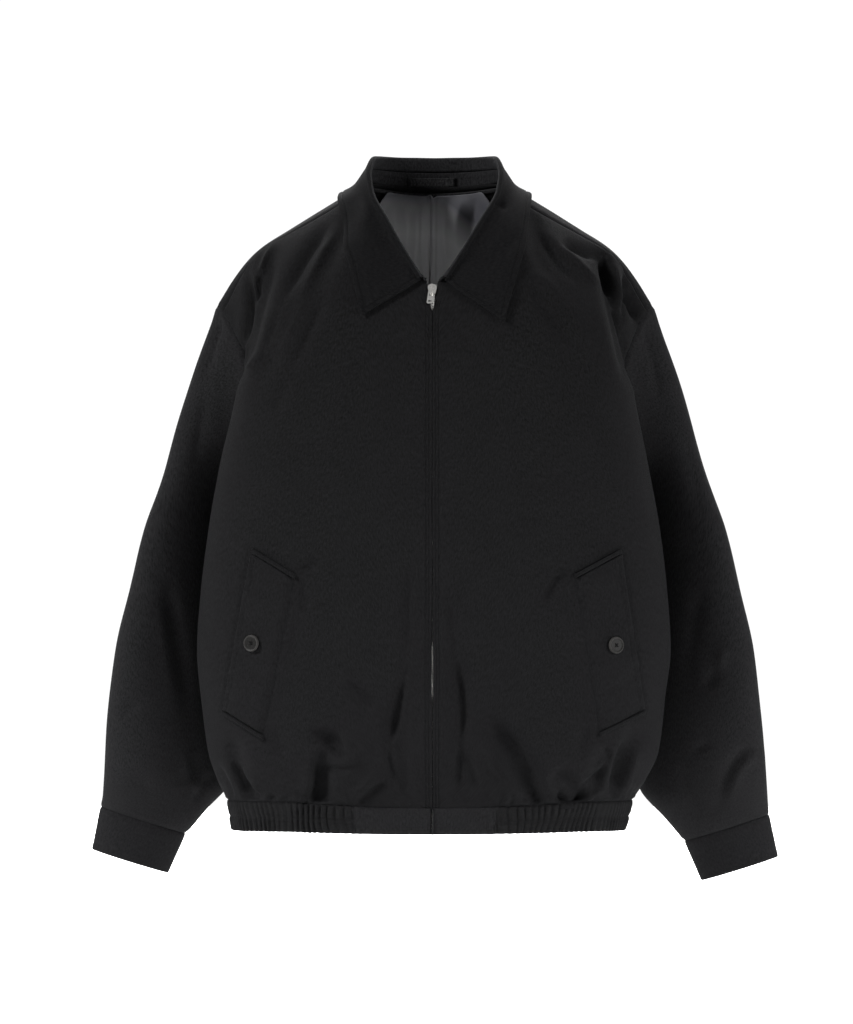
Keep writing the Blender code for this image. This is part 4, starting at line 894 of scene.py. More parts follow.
def armhole_line(shares, arm, ahead, side):
    """Points down the armhole to the underarm: to the chest at given shares, then evenly."""
    top, bottom = SLEEVE_RINGS[0][2], SLEEVE_RINGS[0][5]
    chest = math.degrees(math.acos((CHEST_Z - (top + bottom) / 2) / ((top - bottom) / 2)))
    turn = -1 if ahead else 1
    upper = ring_point(SLEEVE_RINGS[0], np.linspace(ARMHOLE_SEAM_ANGLE, turn * chest, 200), side)
    lower = ring_point(SLEEVE_RINGS[0], np.linspace(turn * chest, turn * 180.0, 200), side)
    return resample(upper, shares), resample(lower, np.linspace(0, 1, arm + 1)[1:])


def fine_front(side):
    """The outer surface of one front, closely spaced, rows from the top to the hem seam."""
    neck, shoulder, upper = FRONT["neck"], FRONT["shoulder"], FRONT["upper"]
    fractions = column_fractions(neck, shoulder, NECK_SHARE)
    share = np.linspace(0, 1, upper + 1)
    high, low = armhole_line(share, FRONT["arm"], True, side)
    tops = [front_neckline(k / neck, side) for k in range(neck)]
    tops += [shoulder_seam(k / shoulder, side) for k in range(shoulder + 1)]
    chest = torso_row(CHEST_Z, side, fractions, True, high[-1])
    columns = [drop_curve(top, chest[k], FRONT_ARCH_POWER, 240) for k, top in enumerate(tops)]
    yoke = np.stack([resample(column, share) for column in columns], axis=1)
    yoke[:, 0, 0] = ZIP_X + side * front_gap(yoke[:, 0, 2])
    for k in range(upper):
        yoke[k] = join_to_seam(yoke[k], high[k])
    chest_rows = [torso_row(point[2], side, fractions, True, point) for point in low]
    body = [torso_row(z, side, fractions, True) for z in body_levels(FRONT["rows"])]
    grid = to_hem(np.concatenate([yoke, np.stack(chest_rows + body)], axis=0))
    across, down = along_columns(grid), along_rows(grid)
    held = ease(across / 30) * ease((across[:, -1:] - across) / 26)
    held = held * ease(down / 26) * ease((down[-1:] - down) / 8)
    return grid - outward(grid) * (fold_depth(grid, side) * held)[..., None]


def fine_back_half(side):
    """The outer surface of half the back, from centre back to the side."""
    neck, shoulder, upper, crest = BACK["neck"], BACK["shoulder"], BACK["upper"], BACK["crest"]
    fractions = column_fractions(neck, shoulder, NECK_SHARE)

    def placed(column, first):
        length = np.linalg.norm(np.diff(column, axis=0), axis=1).sum()
        share = np.concatenate([
            np.linspace(0, first / length, crest + 1)[:-1], np.linspace(first / length, 1, upper - crest + 1)
        ])
        return resample(column, share), share

    _, low = armhole_line([0.0, 1.0], BACK["arm"], False, side)
    chest_end = armhole_line([1.0], 1, False, side)[0][0]
    chest = torso_row(CHEST_Z, side, fractions, False, chest_end)
    crest_share = math.degrees(math.acos(CREST_Y / NECK_BACK_Y)) / NECK_SIDE_ANGLE
    columns = []
    for k in range(neck):
        top = back_neckline(crest_share * k / (neck - 1), side)
        columns.append(placed(drop_curve(top, chest[k], BACK_ARCH_POWER, 240), NECK_EDGE_ROW)[0])
    for k in range(shoulder + 1):
        top = shoulder_seam(k / shoulder, side)
        arch = over_crest(top, CREST_SPREAD * (1 - k / shoulder) ** 2, side, 40)
        length = np.linalg.norm(np.diff(arch, axis=0), axis=1).sum()
        column = np.concatenate([arch, drop_curve(arch[-1], chest[neck + k], BACK_ARCH_POWER, 240)[1:]])
        points, share = placed(column, length)
        columns.append(points)
    yoke = np.stack(columns, axis=1)
    high, _ = armhole_line(share, 1, False, side)
    for k in range(upper):
        yoke[k] = join_to_seam(yoke[k], high[k], 60.0)
    blade_rows = [torso_row(point[2], side, fractions, False, point) for point in low]
    body = [torso_row(z, side, fractions, False) for z in body_levels(BACK["rows"])]
    return to_hem(np.concatenate([yoke, np.stack(blade_rows + body)], axis=0))


def joined_halves(left, right):
    """One grid from two that run outwards from the same middle column."""
    middle = (left[:, :1] + right[:, :1]) / 2
    return np.concatenate([left[:, :0:-1], middle, right[:, 1:]], axis=1)


def fine_back():
    """The outer surface of the whole back."""
    return joined_halves(fine_back_half(LEFT), fine_back_half(RIGHT))


def ring_table(count):
    """Each column of the sleeve's ring table, read smoothly at evenly spaced places down the sleeve."""
    table = np.array(SLEEVE_RINGS, float)
    middles = (table[:, 0:3] + table[:, 3:6]) / 2
    known = np.concatenate([[0.0], np.cumsum(np.linalg.norm(np.diff(middles, axis=0), axis=1))])
    at = np.linspace(0, known[-1], count)
    rows = np.stack([through(at, known, column) for column in table.T], axis=1)
    return rows, np.interp(at, known, np.arange(len(table)))


def fine_sleeve(side):
    """The outer surface of one sleeve, as rings from the armhole to the cuff."""
    rows, place = ring_table(SLEEVE_ROWS)
    angles = ARMHOLE_SEAM_ANGLE + np.arange(SLEEVE_COLUMNS) * 360.0 / SLEEVE_COLUMNS
    grid = np.stack([ring_point(row, angles, side) for row in rows])
    grid[..., 2] += (SLEEVE_LIFT[side] * ease((place - 3) / (len(SLEEVE_RINGS) - 4)))[:, None]
    return grid


def fine_cuff(side):
    """The outer surface of one cuff, as rings from the sleeve to its edge."""
    angles = ARMHOLE_SEAM_ANGLE + np.arange(SLEEVE_COLUMNS) * 360.0 / SLEEVE_COLUMNS
    top = ring_point(SLEEVE_RINGS[-1], angles, side)
    edge = ring_point(CUFF_EDGE, angles, side)
    shares = np.linspace(0.6 * SEAM_GAP / CUFF_HEIGHT, 1.0, CUFF_ROWS)
    grid = np.stack([top + (edge - top) * t for t in shares])
    grid[..., 2] += SLEEVE_LIFT[side]
    return grid


def curve_points(start, middle, end):
    """Places along a bent line through its start, middle and end."""
    t = np.linspace(0, 1, CREASE_STEPS)[:, None]
    control = 2 * middle - (start + end) / 2
    return (1 - t) ** 2 * start + 2 * t * (1 - t) * control + t**2 * end


def crease_depth(places, creases):
    """How deep the creases are at each place of a front or back view."""
    flat = places.reshape(-1, 2)
    depth = np.zeros(len(flat))
    for row in creases:
        crease = dict(zip(CREASE_COLUMNS, row))
        line = curve_points(*(np.array([crease["x" + end], crease["z" + end]]) for end in "1m2"))
        reach = 3.4 * crease["width"]
        near = ((flat > line.min(axis=0) - reach) & (flat < line.max(axis=0) + reach)).all(axis=1)
        if not near.any():
            continue
        spots = flat[near]
        gap, at, sign = np.full(len(spots), 1e9), np.zeros(len(spots)), np.ones(len(spots))
        for k, (start, end) in enumerate(zip(line, line[1:])):
            step = end - start
            run = np.clip(((spots - start) @ step) / (step @ step), 0, 1)
            offset = spots - start - run[:, None] * step
            distance = np.linalg.norm(offset, axis=1)
            closer = distance < gap
            gap[closer] = distance[closer]
            at[closer] = (k + run[closer]) / (len(line) - 1)
            turn = step[0] * (spots[:, 1] - start[1]) - step[1] * (spots[:, 0] - start[0])
            sign[closer] = np.sign(turn[closer])
        width = CREASE_NARROWING * crease["width"] * (1 + crease.get("lean", 0.0) * sign)
        fade = 0.15 + 0.85 * ease(at / 0.35) * ease((1 - at) / 0.35)
        gain = CREASE_GAIN if crease["depth"] > 0 else RIDGE_GAIN
        depth[near] += gain * crease["depth"] * np.exp(-((gap / width) ** CREASE_POWER)) * fade
    return depth.reshape(places.shape[:-1])


def across_smoothly(grid, places):
    """A grid read at the given columns, each row as a smooth curve through its own points."""
    last = grid.shape[1] - 1
    cell = np.clip(np.floor(places).astype(int), 0, last - 1)
    t = (places - cell)[None, :, None]
    before, start, end, after = (grid[:, np.clip(cell + step, 0, last)] for step in (-1, 0, 1, 2))
    third = 3 * (start - end) + after - before
    return start + 0.5 * t * (end - before + t * (2 * before - 5 * start + 4 * end - after + t * third))


def smoothed(grid, rows, columns):
    """A grid read at closer places with a smooth curve through its points."""

    def read(values, count):
        at = np.linspace(0, len(values) - 1, count)
        flat = values.reshape(len(values), -1)
        curves = np.stack([even_curve(at, column) for column in flat.T], axis=1)
        return curves.reshape(count, *values.shape[1:])

    return np.swapaxes(read(np.swapaxes(read(grid, rows), 0, 1), columns), 0, 1)


def even_curve(at, values):
    """A Catmull-Rom curve through evenly spaced values."""
    cell = np.clip(at.astype(int), 0, len(values) - 2)
    values = np.concatenate([[2 * values[0] - values[1]], values, [2 * values[-1] - values[-2]]])
    t = at - cell
    a, b, c, d = (values[cell + k] for k in range(4))
    return b + 0.5 * t * (c - a + t * (2 * a - 5 * b + 4 * c - d + t * (3 * (b - c) + d - a)))


def slow_waves(points, scale, phase):
    """A gentle unevenness, the same on every run."""
    x, y, z = (points[..., k] / scale for k in range(3))
    wave = np.sin(2.1 * x + 0.7 * z + phase) + np.sin(1.3 * z - 1.7 * y + 2.3 * phase)
    wave = wave + np.sin(2.9 * z + 1.1 * x - 0.9 * phase) * 0.7
    return (wave + np.sin(3.7 * x - 2.3 * z + 1.7 * phase) * 0.5) / 3.2


def facing(normal, ahead):
    """1 where a surface faces the front (or the back), 0 where it faces away."""
    towards = -normal[..., 1] if ahead else normal[..., 1]
    return ease((towards + 0.1) / 0.35)


def round_the_body(points):
    """How far round the body a point is, in millimetres at the hem, from centre front."""
    x = (points[..., 0] - torso_at("centre_x", HEM_SEAM_Z)) / torso_at("half_width", HEM_SEAM_Z)
    y = (points[..., 1] - SIDE_Y) / torso_at("front", HEM_SEAM_Z)
    return np.arctan2(x, -y) * HEM_RADIUS


def gathers(place):
    """The uneven little folds of cloth drawn up by elastic: 1 on a ridge and -1 in a trough."""
    bent = place + 1.9 * np.sin(place / 17.0) + 1.3 * np.sin(place / 7.3 + 1.1)
    large = 2 * np.abs(np.sin(math.pi * bent / GATHER_PITCH)) ** 0.7 - 1
    small = np.abs(np.sin(math.pi * bent / (GATHER_PITCH * 0.43) + 0.8))
    swell = 0.75 + 0.4 * np.sin(place / 23.0 + 0.4) * np.sin(place / 9.1)
    return large * swell + 0.35 * small - 0.2


def drawn_up(points):
    """1 where the hem is gathered, 0 at its plain front ends."""
    x = points[..., 0]
    ahead = points[..., 1] < SIDE_Y
    plain = ease((x - PLAIN_BAND_X[LEFT] + 4) / 8) * ease((PLAIN_BAND_X[RIGHT] + 4 - x) / 8)
    return 1 - plain * ahead


def edge_gaps(grid):
    """Each point's distances from the first and last row and from the first and last column."""
    down, across = along_rows(grid), along_columns(grid)
    return down, down[-1:] - down, across, across[:, -1:] - across


def bell(distance, width):
    """1 at a line, falling smoothly away on both sides."""
    return np.exp(-((distance / width) ** 2))


def sunk_edges(grid, depth, width, shares):
    """How far a panel dips towards its seams, as a share of the depth for each of its four edges."""
    sink = np.zeros(grid.shape[:2])
    for share, gap in zip(shares, edge_gaps(grid)):
        if share:
            sink = np.maximum(sink, depth * share * bell(gap, width))
    return sink


def zip_cover(z):
    """1 where the fronts' edges hide the teeth, 0 where they part a little."""
    shown = ease((z + 128) / 8) + ease((z + 544) / 8) * ease((-479 - z) / 8) + ease((-672 - z) / 6)
    return 1 - np.clip(shown, 0, 1)


def inserted(grid, places):
    """A grid read at the given rows, which may lie between its own."""
    low = np.clip(np.floor(places).astype(int), 0, len(grid) - 2)
    part = (np.asarray(places) - low)[:, None, None]
    return grid[low] * (1 - part) + grid[low + 1] * part


def inserted_across(grid, places):
    """A grid read at the given columns."""
    return np.swapaxes(inserted(np.swapaxes(grid, 0, 1), places), 0, 1)


def rim_places(count, first, last):
    """Row numbers with two more close to each edge that is to be rounded."""
    inner = np.arange(1, count - 1, dtype=float)
    start = [0.0, 0.25, 0.6] if first else [0.0]
    end = [count - 1.6, count - 1.25, count - 1.0] if last else [count - 1.0]
    return np.concatenate([start, inner, end])


def rounding(gap, thickness):
    """How far each face of a cloth draws in at a distance from a rounded edge."""
    lean = 1 - np.clip(gap / (0.5 * thickness), 0, 1)
    return EDGE_ROUND * thickness * (1 - np.sqrt(np.maximum(0.0, 1 - lean**2)))


def rolled(grid, normal, thickness, roll=(True, True, True, True)):
    """The two faces of a cloth whose chosen edges are rounded off instead of cut square."""
    rows = rim_places(grid.shape[0], *roll[:2])
    columns = rim_places(grid.shape[1], *roll[2:])
    grid = inserted_across(inserted(grid, rows), columns)
    normal = unit(inserted_across(inserted(normal, rows), columns))
    gap = np.full(grid.shape[:2], 1e3)
    for on, edge in zip(roll, edge_gaps(grid)):
        if on:
            gap = np.minimum(gap, edge)
    sink = rounding(gap, thickness)[..., None]
    return grid - normal * sink, grid - normal * (thickness - sink)


def quads_of(rows, columns, closed):
    """The cells of a grid as corners, closed round if its last column meets its first."""
    r = np.arange(rows - 1)[:, None] * columns
    c = np.arange(columns if closed else columns - 1)[None, :]
    d = (c + 1) % columns
    return np.stack([r + c, r + d, r + columns + d, r + columns + c], axis=-1).reshape(-1, 4)


def cloth_uv(grid, closed):
    """Where each corner of each cell lies on the flat cloth, in metres."""
    wide = np.concatenate([grid, grid[:, :1]], axis=1) if closed else grid
    u = along_columns(wide)
    u = u - u[:, u.shape[1] // 2 : u.shape[1] // 2 + 1]
    spot = np.stack([u, along_rows(wide)], axis=-1) * MM
    corners = [spot[:-1, :-1], spot[:-1, 1:], spot[1:, 1:], spot[1:, :-1]]
    return np.stack(corners, axis=2).reshape(-1, 4, 2)


def mesh_object(name, points, quads, finish, uv=None):
    """A smooth mesh in metres from points in millimetres."""
    mesh = bpy.data.meshes.new(name)
    mesh.from_pydata((points * MM).tolist(), [], quads if isinstance(quads, list) else quads.tolist())
    if uv is not None:
        mesh.uv_layers.new(name="cloth").data.foreach_set("uv", uv.astype(np.float32).ravel())
    mesh.materials.append(finish)
    mesh.shade_smooth()
    mesh.update()
    piece = bpy.data.objects.new(name, mesh)
    bpy.context.scene.collection.objects.link(piece)
    return piece


def cloth_piece(name, outer, inner, finish, closed=False):
    """A closed sheet between two faces."""
    rows, columns = outer.shape[:2]
    half = rows * columns
    face = quads_of(rows, columns, closed)
    c = np.arange(columns if closed else columns - 1)
    d = (c + 1) % columns
    last = (rows - 1) * columns
    rims = [(d, c), (last + c, last + d)]
    if not closed:
        r = np.arange(rows - 1) * columns
        s = r + columns
        rims += [(r, s), (s + columns - 1, r + columns - 1)]
    rims = np.concatenate([np.stack([a, b, b + half, a + half], axis=1) for a, b in rims])
    quads = np.concatenate([face, face[:, ::-1] + half, rims])
    uv = cloth_uv(outer, closed)
    uv = np.concatenate([uv, uv[:, ::-1], np.zeros((len(rims), 4, 2))])
    a, b, e = (outer.reshape(-1, 3)[face[:, k]] for k in (0, 1, 3))
    turn = (np.cross(b - a, e - a) * (outer - inner).reshape(-1, 3)[face[:, 0]]).sum()
    if turn < 0:
        quads, uv = quads[:, ::-1], uv[:, ::-1]
    points = np.concatenate([outer.reshape(-1, 3), inner.reshape(-1, 3)])
    return mesh_object(name, points, quads, finish, uv)


class Nodes:
    """Adds shader nodes to a material."""

    def __init__(self, name, colour, roughness, metallic=0.0, specular=0.5):
        self.material = bpy.data.materials.new(name)
        self.material.use_nodes = True
        self.tree = self.material.node_tree
        self.shader = self.tree.nodes["Principled BSDF"]
        self.shader.inputs["Base Color"].default_value = (*colour, 1.0)
        self.shader.inputs["Roughness"].default_value = roughness
        self.shader.inputs["Metallic"].default_value = metallic
        self.shader.inputs["Specular IOR Level"].default_value = specular

    def add(self, kind, **inputs):
        node = self.tree.nodes.new(kind)
        for name, value in inputs.items():
            node.inputs[name.replace("_", " ")].default_value = value
        return node

    def join(self, source, output, target, name):
        self.tree.links.new(source.outputs[output], target.inputs[name])

    def mapped(self, kind, scale, turn=0.0):
        """The cloth's own flat coordinates, or the object's, stretched and turned."""
        place = self.tree.nodes.new("ShaderNodeTexCoord")
        mapping = self.add("ShaderNodeMapping", Scale=scale, Rotation=(0.0, 0.0, math.radians(turn)))
        self.join(place, kind, mapping, "Vector")
        return mapping

    def axes(self):
        """The object's own coordinates, one output for each."""
        split = self.tree.nodes.new("ShaderNodeSeparateXYZ")
        self.join(self.mapped("Object", (1.0, 1.0, 1.0)), "Vector", split, "Vector")
        return split

    def sum(self, first, first_output, second, second_output):
        node = self.tree.nodes.new("ShaderNodeMath")
        node.operation = "ADD"
        self.tree.links.new(first.outputs[first_output], node.inputs[0])
        self.tree.links.new(second.outputs[second_output], node.inputs[1])
        return node

    def blend(self, factor, output, dark, light):
        """Base colour between two tones."""
        mix = self.tree.nodes.new("ShaderNodeMix")
        mix.data_type = "RGBA"
        mix.clamp_factor = False
        mix.inputs["A"].default_value = (*dark, 1.0)
        mix.inputs["B"].default_value = (*light, 1.0)
        self.tree.links.new(factor.outputs[output], mix.inputs[0])
        self.tree.links.new(mix.outputs["Result"], self.shader.inputs["Base Color"])

    def bump(self, source, output, strength, distance, under=None):
        node = self.add("ShaderNodeBump", Strength=strength, Distance=distance)
        self.join(source, output, node, "Height")
        if under is not None:
            self.join(under, "Normal", node, "Normal")
        self.join(node, "Normal", self.shader, "Normal")
        return node

    def rough(self, source, output, low, high):
        ramp = self.add("ShaderNodeMapRange", To_Min=low, To_Max=high)
        self.join(source, output, ramp, "Value")
        self.join(ramp, "Result", self.shader, "Roughness")


def noise(nodes, kind, scale, detail=3.0, rough=0.55, stretch=(1.0, 1.0, 1.0), turn=0.0):
    """A noise texture on stretched and turned coordinates."""
    place = nodes.mapped(kind, stretch, turn)
    node = nodes.add("ShaderNodeTexNoise", Scale=scale, Detail=detail, Roughness=rough)
    nodes.join(place, "Vector", node, "Vector")
    return node


def woven(name, dark, light, pitch, turn, depth, roughness, sheen, specular):
    """Cloth with diagonal wales, uneven dye, a little lint and painted light that makes it paler further
    down. Each tone is (grey, blue).
    """
    dark, light = ((grey, grey, blue) for grey, blue in (dark, light))
    nodes = Nodes(name, light, roughness, specular=specular)
    nodes.shader.inputs["Sheen Weight"].default_value = sheen
    nodes.shader.inputs["Sheen Roughness"].default_value = 0.45
    nodes.shader.inputs["Sheen Tint"].default_value = (0.55, 0.56, 0.6, 1.0)
    patches = noise(nodes, "Object", 26.0, 5.0, 0.62)
    fleck = noise(nodes, "UV", 560.0, 4.0, 0.85, (1.0, 0.45, 1.0))
    strength = nodes.add("ShaderNodeMapRange", From_Min=0.3, From_Max=0.7, To_Min=-2.6, To_Max=2.6)
    nodes.join(fleck, "Fac", strength, "Value")
    height = nodes.axes()
    # Painted light: the tone grows paler from the chest down to the hem and cuffs, standing in for light from
    # below.
    painted_low_light = nodes.add("ShaderNodeMapRange", From_Min=-0.15, From_Max=-0.72, To_Min=-0.5, To_Max=1.5)
    nodes.join(height, "Z", painted_low_light, "Value")
    total = nodes.sum(nodes.sum(patches, "Fac", strength, "Result"), "Value", painted_low_light, "Result")
    nodes.blend(total, "Value", dark, light)
    place = nodes.mapped("UV", (1.0, 1.0, 1.0), turn)
    wales = nodes.add("ShaderNodeTexWave", Scale=WAVE_PERIOD / pitch, Distortion=1.2, Detail=1.5)
    wales.inputs["Detail Scale"].default_value = 2.0
    nodes.join(place, "Vector", wales, "Vector")
    first = nodes.bump(wales, "Fac", 0.55, depth)
    grain = noise(nodes, "UV", 1500.0, 2.0, 0.6, (1.0, 0.45, 1.0))
    second = nodes.bump(grain, "Fac", 0.4, depth, first)
    slub = noise(nodes, "UV", 130.0, 3.0, 0.6, (1.0, 0.25, 1.0))
    nodes.bump(slub, "Fac", 0.35, 2.2 * depth, second)
    return nodes.material


def satin():
    """The lining's satin, with painted shade towards the neck seam that reaches further down on the viewer's
    right.
    """
    nodes = Nodes("grey_satin", (0.36, 0.36, 0.365), 0.6, specular=0.08)
    height = nodes.axes()
    # Painted shade: darkens the satin near the neck, and lower down on the right, against the key light
    # falling through the neck opening.
    shift = nodes.add("ShaderNodeMapRange", From_Min=0.0, From_Max=0.05, To_Min=0.0, To_Max=0.029)
    shift.interpolation_type = "SMOOTHSTEP"
    nodes.join(height, "X", shift, "Value")
    lit = nodes.sum(height, "Z", shift, "Result")
    shade = nodes.add("ShaderNodeMapRange", From_Min=-0.045, From_Max=-0.004, To_Min=0.0, To_Max=-3.9)
    nodes.join(lit, "Value", shade, "Value")
    total = nodes.sum(noise(nodes, "Object", 18.0, 3.0, 0.5), "Fac", shade, "Result")
    nodes.blend(total, "Value", (0.4, 0.4, 0.407), (0.5, 0.5, 0.507))
    threads = noise(nodes, "UV", 900.0, 2.0, 0.5, (0.08, 1.0, 1.0))
    first = nodes.bump(threads, "Fac", 0.3, 0.00006)
    nodes.bump(noise(nodes, "UV", 60.0, 3.0, 0.6), "Fac", 0.25, 0.0005, first)
    return nodes.material


def nickel():
    """Polished metal with fine scratches."""
    nodes = Nodes("polished_nickel", (0.86, 0.85, 0.82), 0.22, metallic=1.0)
    scratches = noise(nodes, "Object", 900.0, 4.0, 0.7, (1.0, 1.0, 0.3))
    nodes.rough(scratches, "Fac", 0.14, 0.32)
    nodes.blend(noise(nodes, "Object", 160.0, 3.0, 0.5), "Fac", (0.72, 0.71, 0.68), (0.9, 0.89, 0.87))
    nodes.bump(scratches, "Fac", 0.12, 0.00003)
    return nodes.material


def horn(centre):
    """Horn-effect plastic, dark in the button's dish, with a painted highlight on its rim."""
    nodes = Nodes("dark_horn", (0.02, 0.019, 0.018), 0.5, specular=0.08)
    streaks = noise(nodes, "Object", 120.0, 5.0, 0.65, (1.0, 1.0, 0.35), 20.0)
    place = nodes.mapped("Object", (1.0, 1.0, 1.0))
    place.inputs["Location"].default_value = tuple(-centre * MM)
    radius = nodes.tree.nodes.new("ShaderNodeVectorMath")
    radius.operation = "LENGTH"
    nodes.join(place, "Vector", radius, "Vector")
    # Painted highlight: the rim is paler where it catches the light.
    rim = nodes.add("ShaderNodeMapRange", From_Min=0.0064, From_Max=0.0082)
    nodes.join(radius, "Value", rim, "Value")
    nodes.blend(rim, "Result", (0.005, 0.0048, 0.0046), (0.02, 0.0192, 0.0184))
    nodes.rough(streaks, "Fac", 0.4, 0.55)
    nodes.bump(streaks, "Fac", 0.1, 0.00005)
    return nodes.material


def soft_light(name, place, aim, size, power):
    """A square lamp that points at a place. Its size and places are in metres, its power in watts."""
    data = bpy.data.lights.new(name, "AREA")
    data.size = size
    data.energy = power
    lamp = bpy.data.objects.new(name, data)
    bpy.context.scene.collection.objects.link(lamp)
    lamp.location = place
    lamp.rotation_euler = (Vector(aim) - Vector(place)).to_track_quat("-Z", "Y").to_euler()


def placed(piece, slot):
    """A piece that moves with the jacket. Its slot is not used."""
    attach(piece, "jacket")
    return piece


def panel(grid, creases, ahead, phase, edges):
    """One cloth panel with its creases, unevenness, dips at its seams and gathers at the hem."""
    normal = outward(grid)
    _, left_over, _, _ = edge_gaps(grid)
    held = ease(sunk_edges(grid, -1.0, 12.0, (1, 0, 1, 1)) + 1.0)
    depth = crease_depth(grid[..., [0, 2]], creases) * held * facing(normal, ahead)
    depth = depth + slow_waves(grid, 58.0, phase) * 0.9 * held
    pucker = np.exp(-(left_over / 17.0) ** 1.3) * drawn_up(grid)
    depth = depth - gathers(round_the_body(grid)) * pucker * GATHER_DEPTH
    depth = depth * ease(left_over / 5.0 + 0.12)
    depth = depth + sunk_edges(grid, SEAM_SINK, SEAM_WIDTH, edges)
    shaped = grid - normal * depth[..., None]
    return shaped, outward(shaped)


def tucked(grid, normals, first=False, last=False, width=TUCK, depth=TUCK_DEPTH):
    """A grid with its seam allowance turned in behind its neighbour at the first or the last row."""
    if first:
        turned = grid[:1] + unit(grid[:1] - grid[1:2]) * width - normals[:1] * depth
        grid, normals = np.concatenate([turned, grid]), np.concatenate([normals[:1], normals])
    if last:
        turned = grid[-1:] + unit(grid[-1:] - grid[-2:-1]) * width - normals[-1:] * depth
        grid, normals = np.concatenate([grid, turned]), np.concatenate([normals, normals[-1:]])
    return grid, normals


def tucked_beside(grid, normals):
    """The same at the last column, which is a front's armhole and side."""
    turned, over = np.swapaxes(grid, 0, 1), np.swapaxes(normals, 0, 1)
    turned, normals = tucked(turned, over, last=True, width=TUCK_SIDE, depth=TUCK_SIDE_DEPTH)
    return np.swapaxes(turned, 0, 1), np.swapaxes(normals, 0, 1)


def standing_for(piece, slot, node):
    """A piece placed in the jacket that takes the place of a node of the frame."""
    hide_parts(node)
    return placed(piece, slot)


def add_piece(name, grid, normal, thickness, finish, roll, node):
    """A sheet of cotton whose chosen edges are rounded."""
    outer, inner = rolled(grid, normal, thickness, roll)
    return standing_for(cloth_piece(name, outer, inner, finish), "cotton", node)


def tube_piece(name, grid, thickness, finish, node):
    """A sleeve or cuff of cloth with rounded ends."""
    normal = tube_normals(grid)
    count = len(grid)
    places = rim_places(count, True, True)
    ends = np.minimum(places, count - 1 - places)
    fine, normal = inserted(grid, places), unit(inserted(normal, places))
    sink = rounding(ends * TUBE_ROW, thickness)[:, None, None]
    outer, inner = fine - normal * sink, fine - normal * (thickness - sink)
    return standing_for(cloth_piece(name, outer, inner, finish, closed=True), "cotton", node)


def lying_on(tree, places):
    """Points of the front view on the inner face of a pocket flap, clear of the front it lies on."""
    spots, _ = laid_on(tree, places, FLAP_LIFT)
    for _ in range(3):
        spots = kept_off(tree, spots, FLAP_LIFT)
    return spots


def inset(grid, normals, distance):
    """The line across a grid's rows that keeps a distance from its first column, and the normals along it."""
    line, line_normals = [], []
    for k, row in enumerate(along_columns(grid)):
        at = np.interp(distance, row, np.arange(len(row)))
        low = min(int(at), len(row) - 2)
        part = at - low
        line.append(grid[k, low] * (1 - part) + grid[k, low + 1] * part)
        line_normals.append(normals[k, low])
    return np.array(line), np.array(line_normals)


stitches = {}


def stitched(group, line, normals, length=2.7, gap=0.9, radius=0.24, lift=0.05):
    """Adds stitches along a line to a named group, as starts, ends, normals and radii."""
    steps = np.linalg.norm(np.diff(line, axis=0), axis=1)
    total = np.concatenate([[0.0], np.cumsum(steps)])
    count = int(total[-1] // (length + gap))
    if count < 1:
        return
    pitch = total[-1] / count
    starts = np.arange(count) * pitch + pitch * gap / (length + gap) / 2
    ends = starts + pitch * length / (length + gap)

    def read(values, at):
        return np.stack([np.interp(at, total, values[:, k]) for k in range(3)], axis=1)

    normal = unit(read(normals, (starts + ends) / 2))
    stitches.setdefault(group, []).append(
        (read(line, starts) + normal * lift, read(line, ends) + normal * lift, normal, np.full(count, radius))
    )


def make_stitches(finish):
    """Each group of stitches as one piece: every stitch a little five-sided bead, thinner at its ends."""
    for group, parts in stitches.items():
        start, end, normal, radius = (np.concatenate([part[k] for part in parts]) for k in range(4))
        along = unit(end - start)
        across = unit(np.cross(along, normal))
        up = np.cross(across, along)
        rings = []
        for share, size, rise in BEAD_RINGS:
            centre = start + (end - start) * share + up * (radius * rise)[:, None]
            for k in range(BEAD_SIDES):
                turn = 2 * math.pi * k / BEAD_SIDES
                offset = across * math.cos(turn) + up * math.sin(turn)
                rings.append(centre + offset * (radius * size)[:, None])
        points = np.stack(rings, axis=1).reshape(-1, 3)
        firsts = len(rings) * np.arange(len(start))
        sides = quads_of(len(BEAD_RINGS), BEAD_SIDES, True)
        quads = (sides[None] + firsts[:, None, None]).reshape(-1, 4).tolist()
        caps = (range(BEAD_SIDES)[::-1], range(len(rings) - BEAD_SIDES, len(rings)))
        caps = [[int(first) + k for k in cap] for first in firsts for cap in caps]
        placed(mesh_object(f"stitching_{group}", points, quads + caps, finish), "cotton")


def blocks(centres, across, along, out, sizes):
    """Small blocks, one for each centre, each narrowed towards its outer face."""
    wide, tall, thick = sizes
    corners = []
    for n, shrink in ((-0.5, 1.0), (0.1, 1.0), (0.5, 0.7)):
        for s, t in ((-0.5, -0.5), (0.5, -0.5), (0.5, 0.5), (-0.5, 0.5)):
            corner = centres + across * (s * shrink * wide) + along * (t * shrink * tall)
            corners.append(corner + out * (n * thick))
    points = np.stack(corners, axis=1).reshape(-1, 3)
    faces = np.concatenate([[(3, 2, 1, 0), (8, 9, 10, 11)], quads_of(3, 4, True)])
    firsts = len(corners) * np.arange(len(centres))
    return points, (faces[None] + firsts[:, None, None]).reshape(-1, 4)


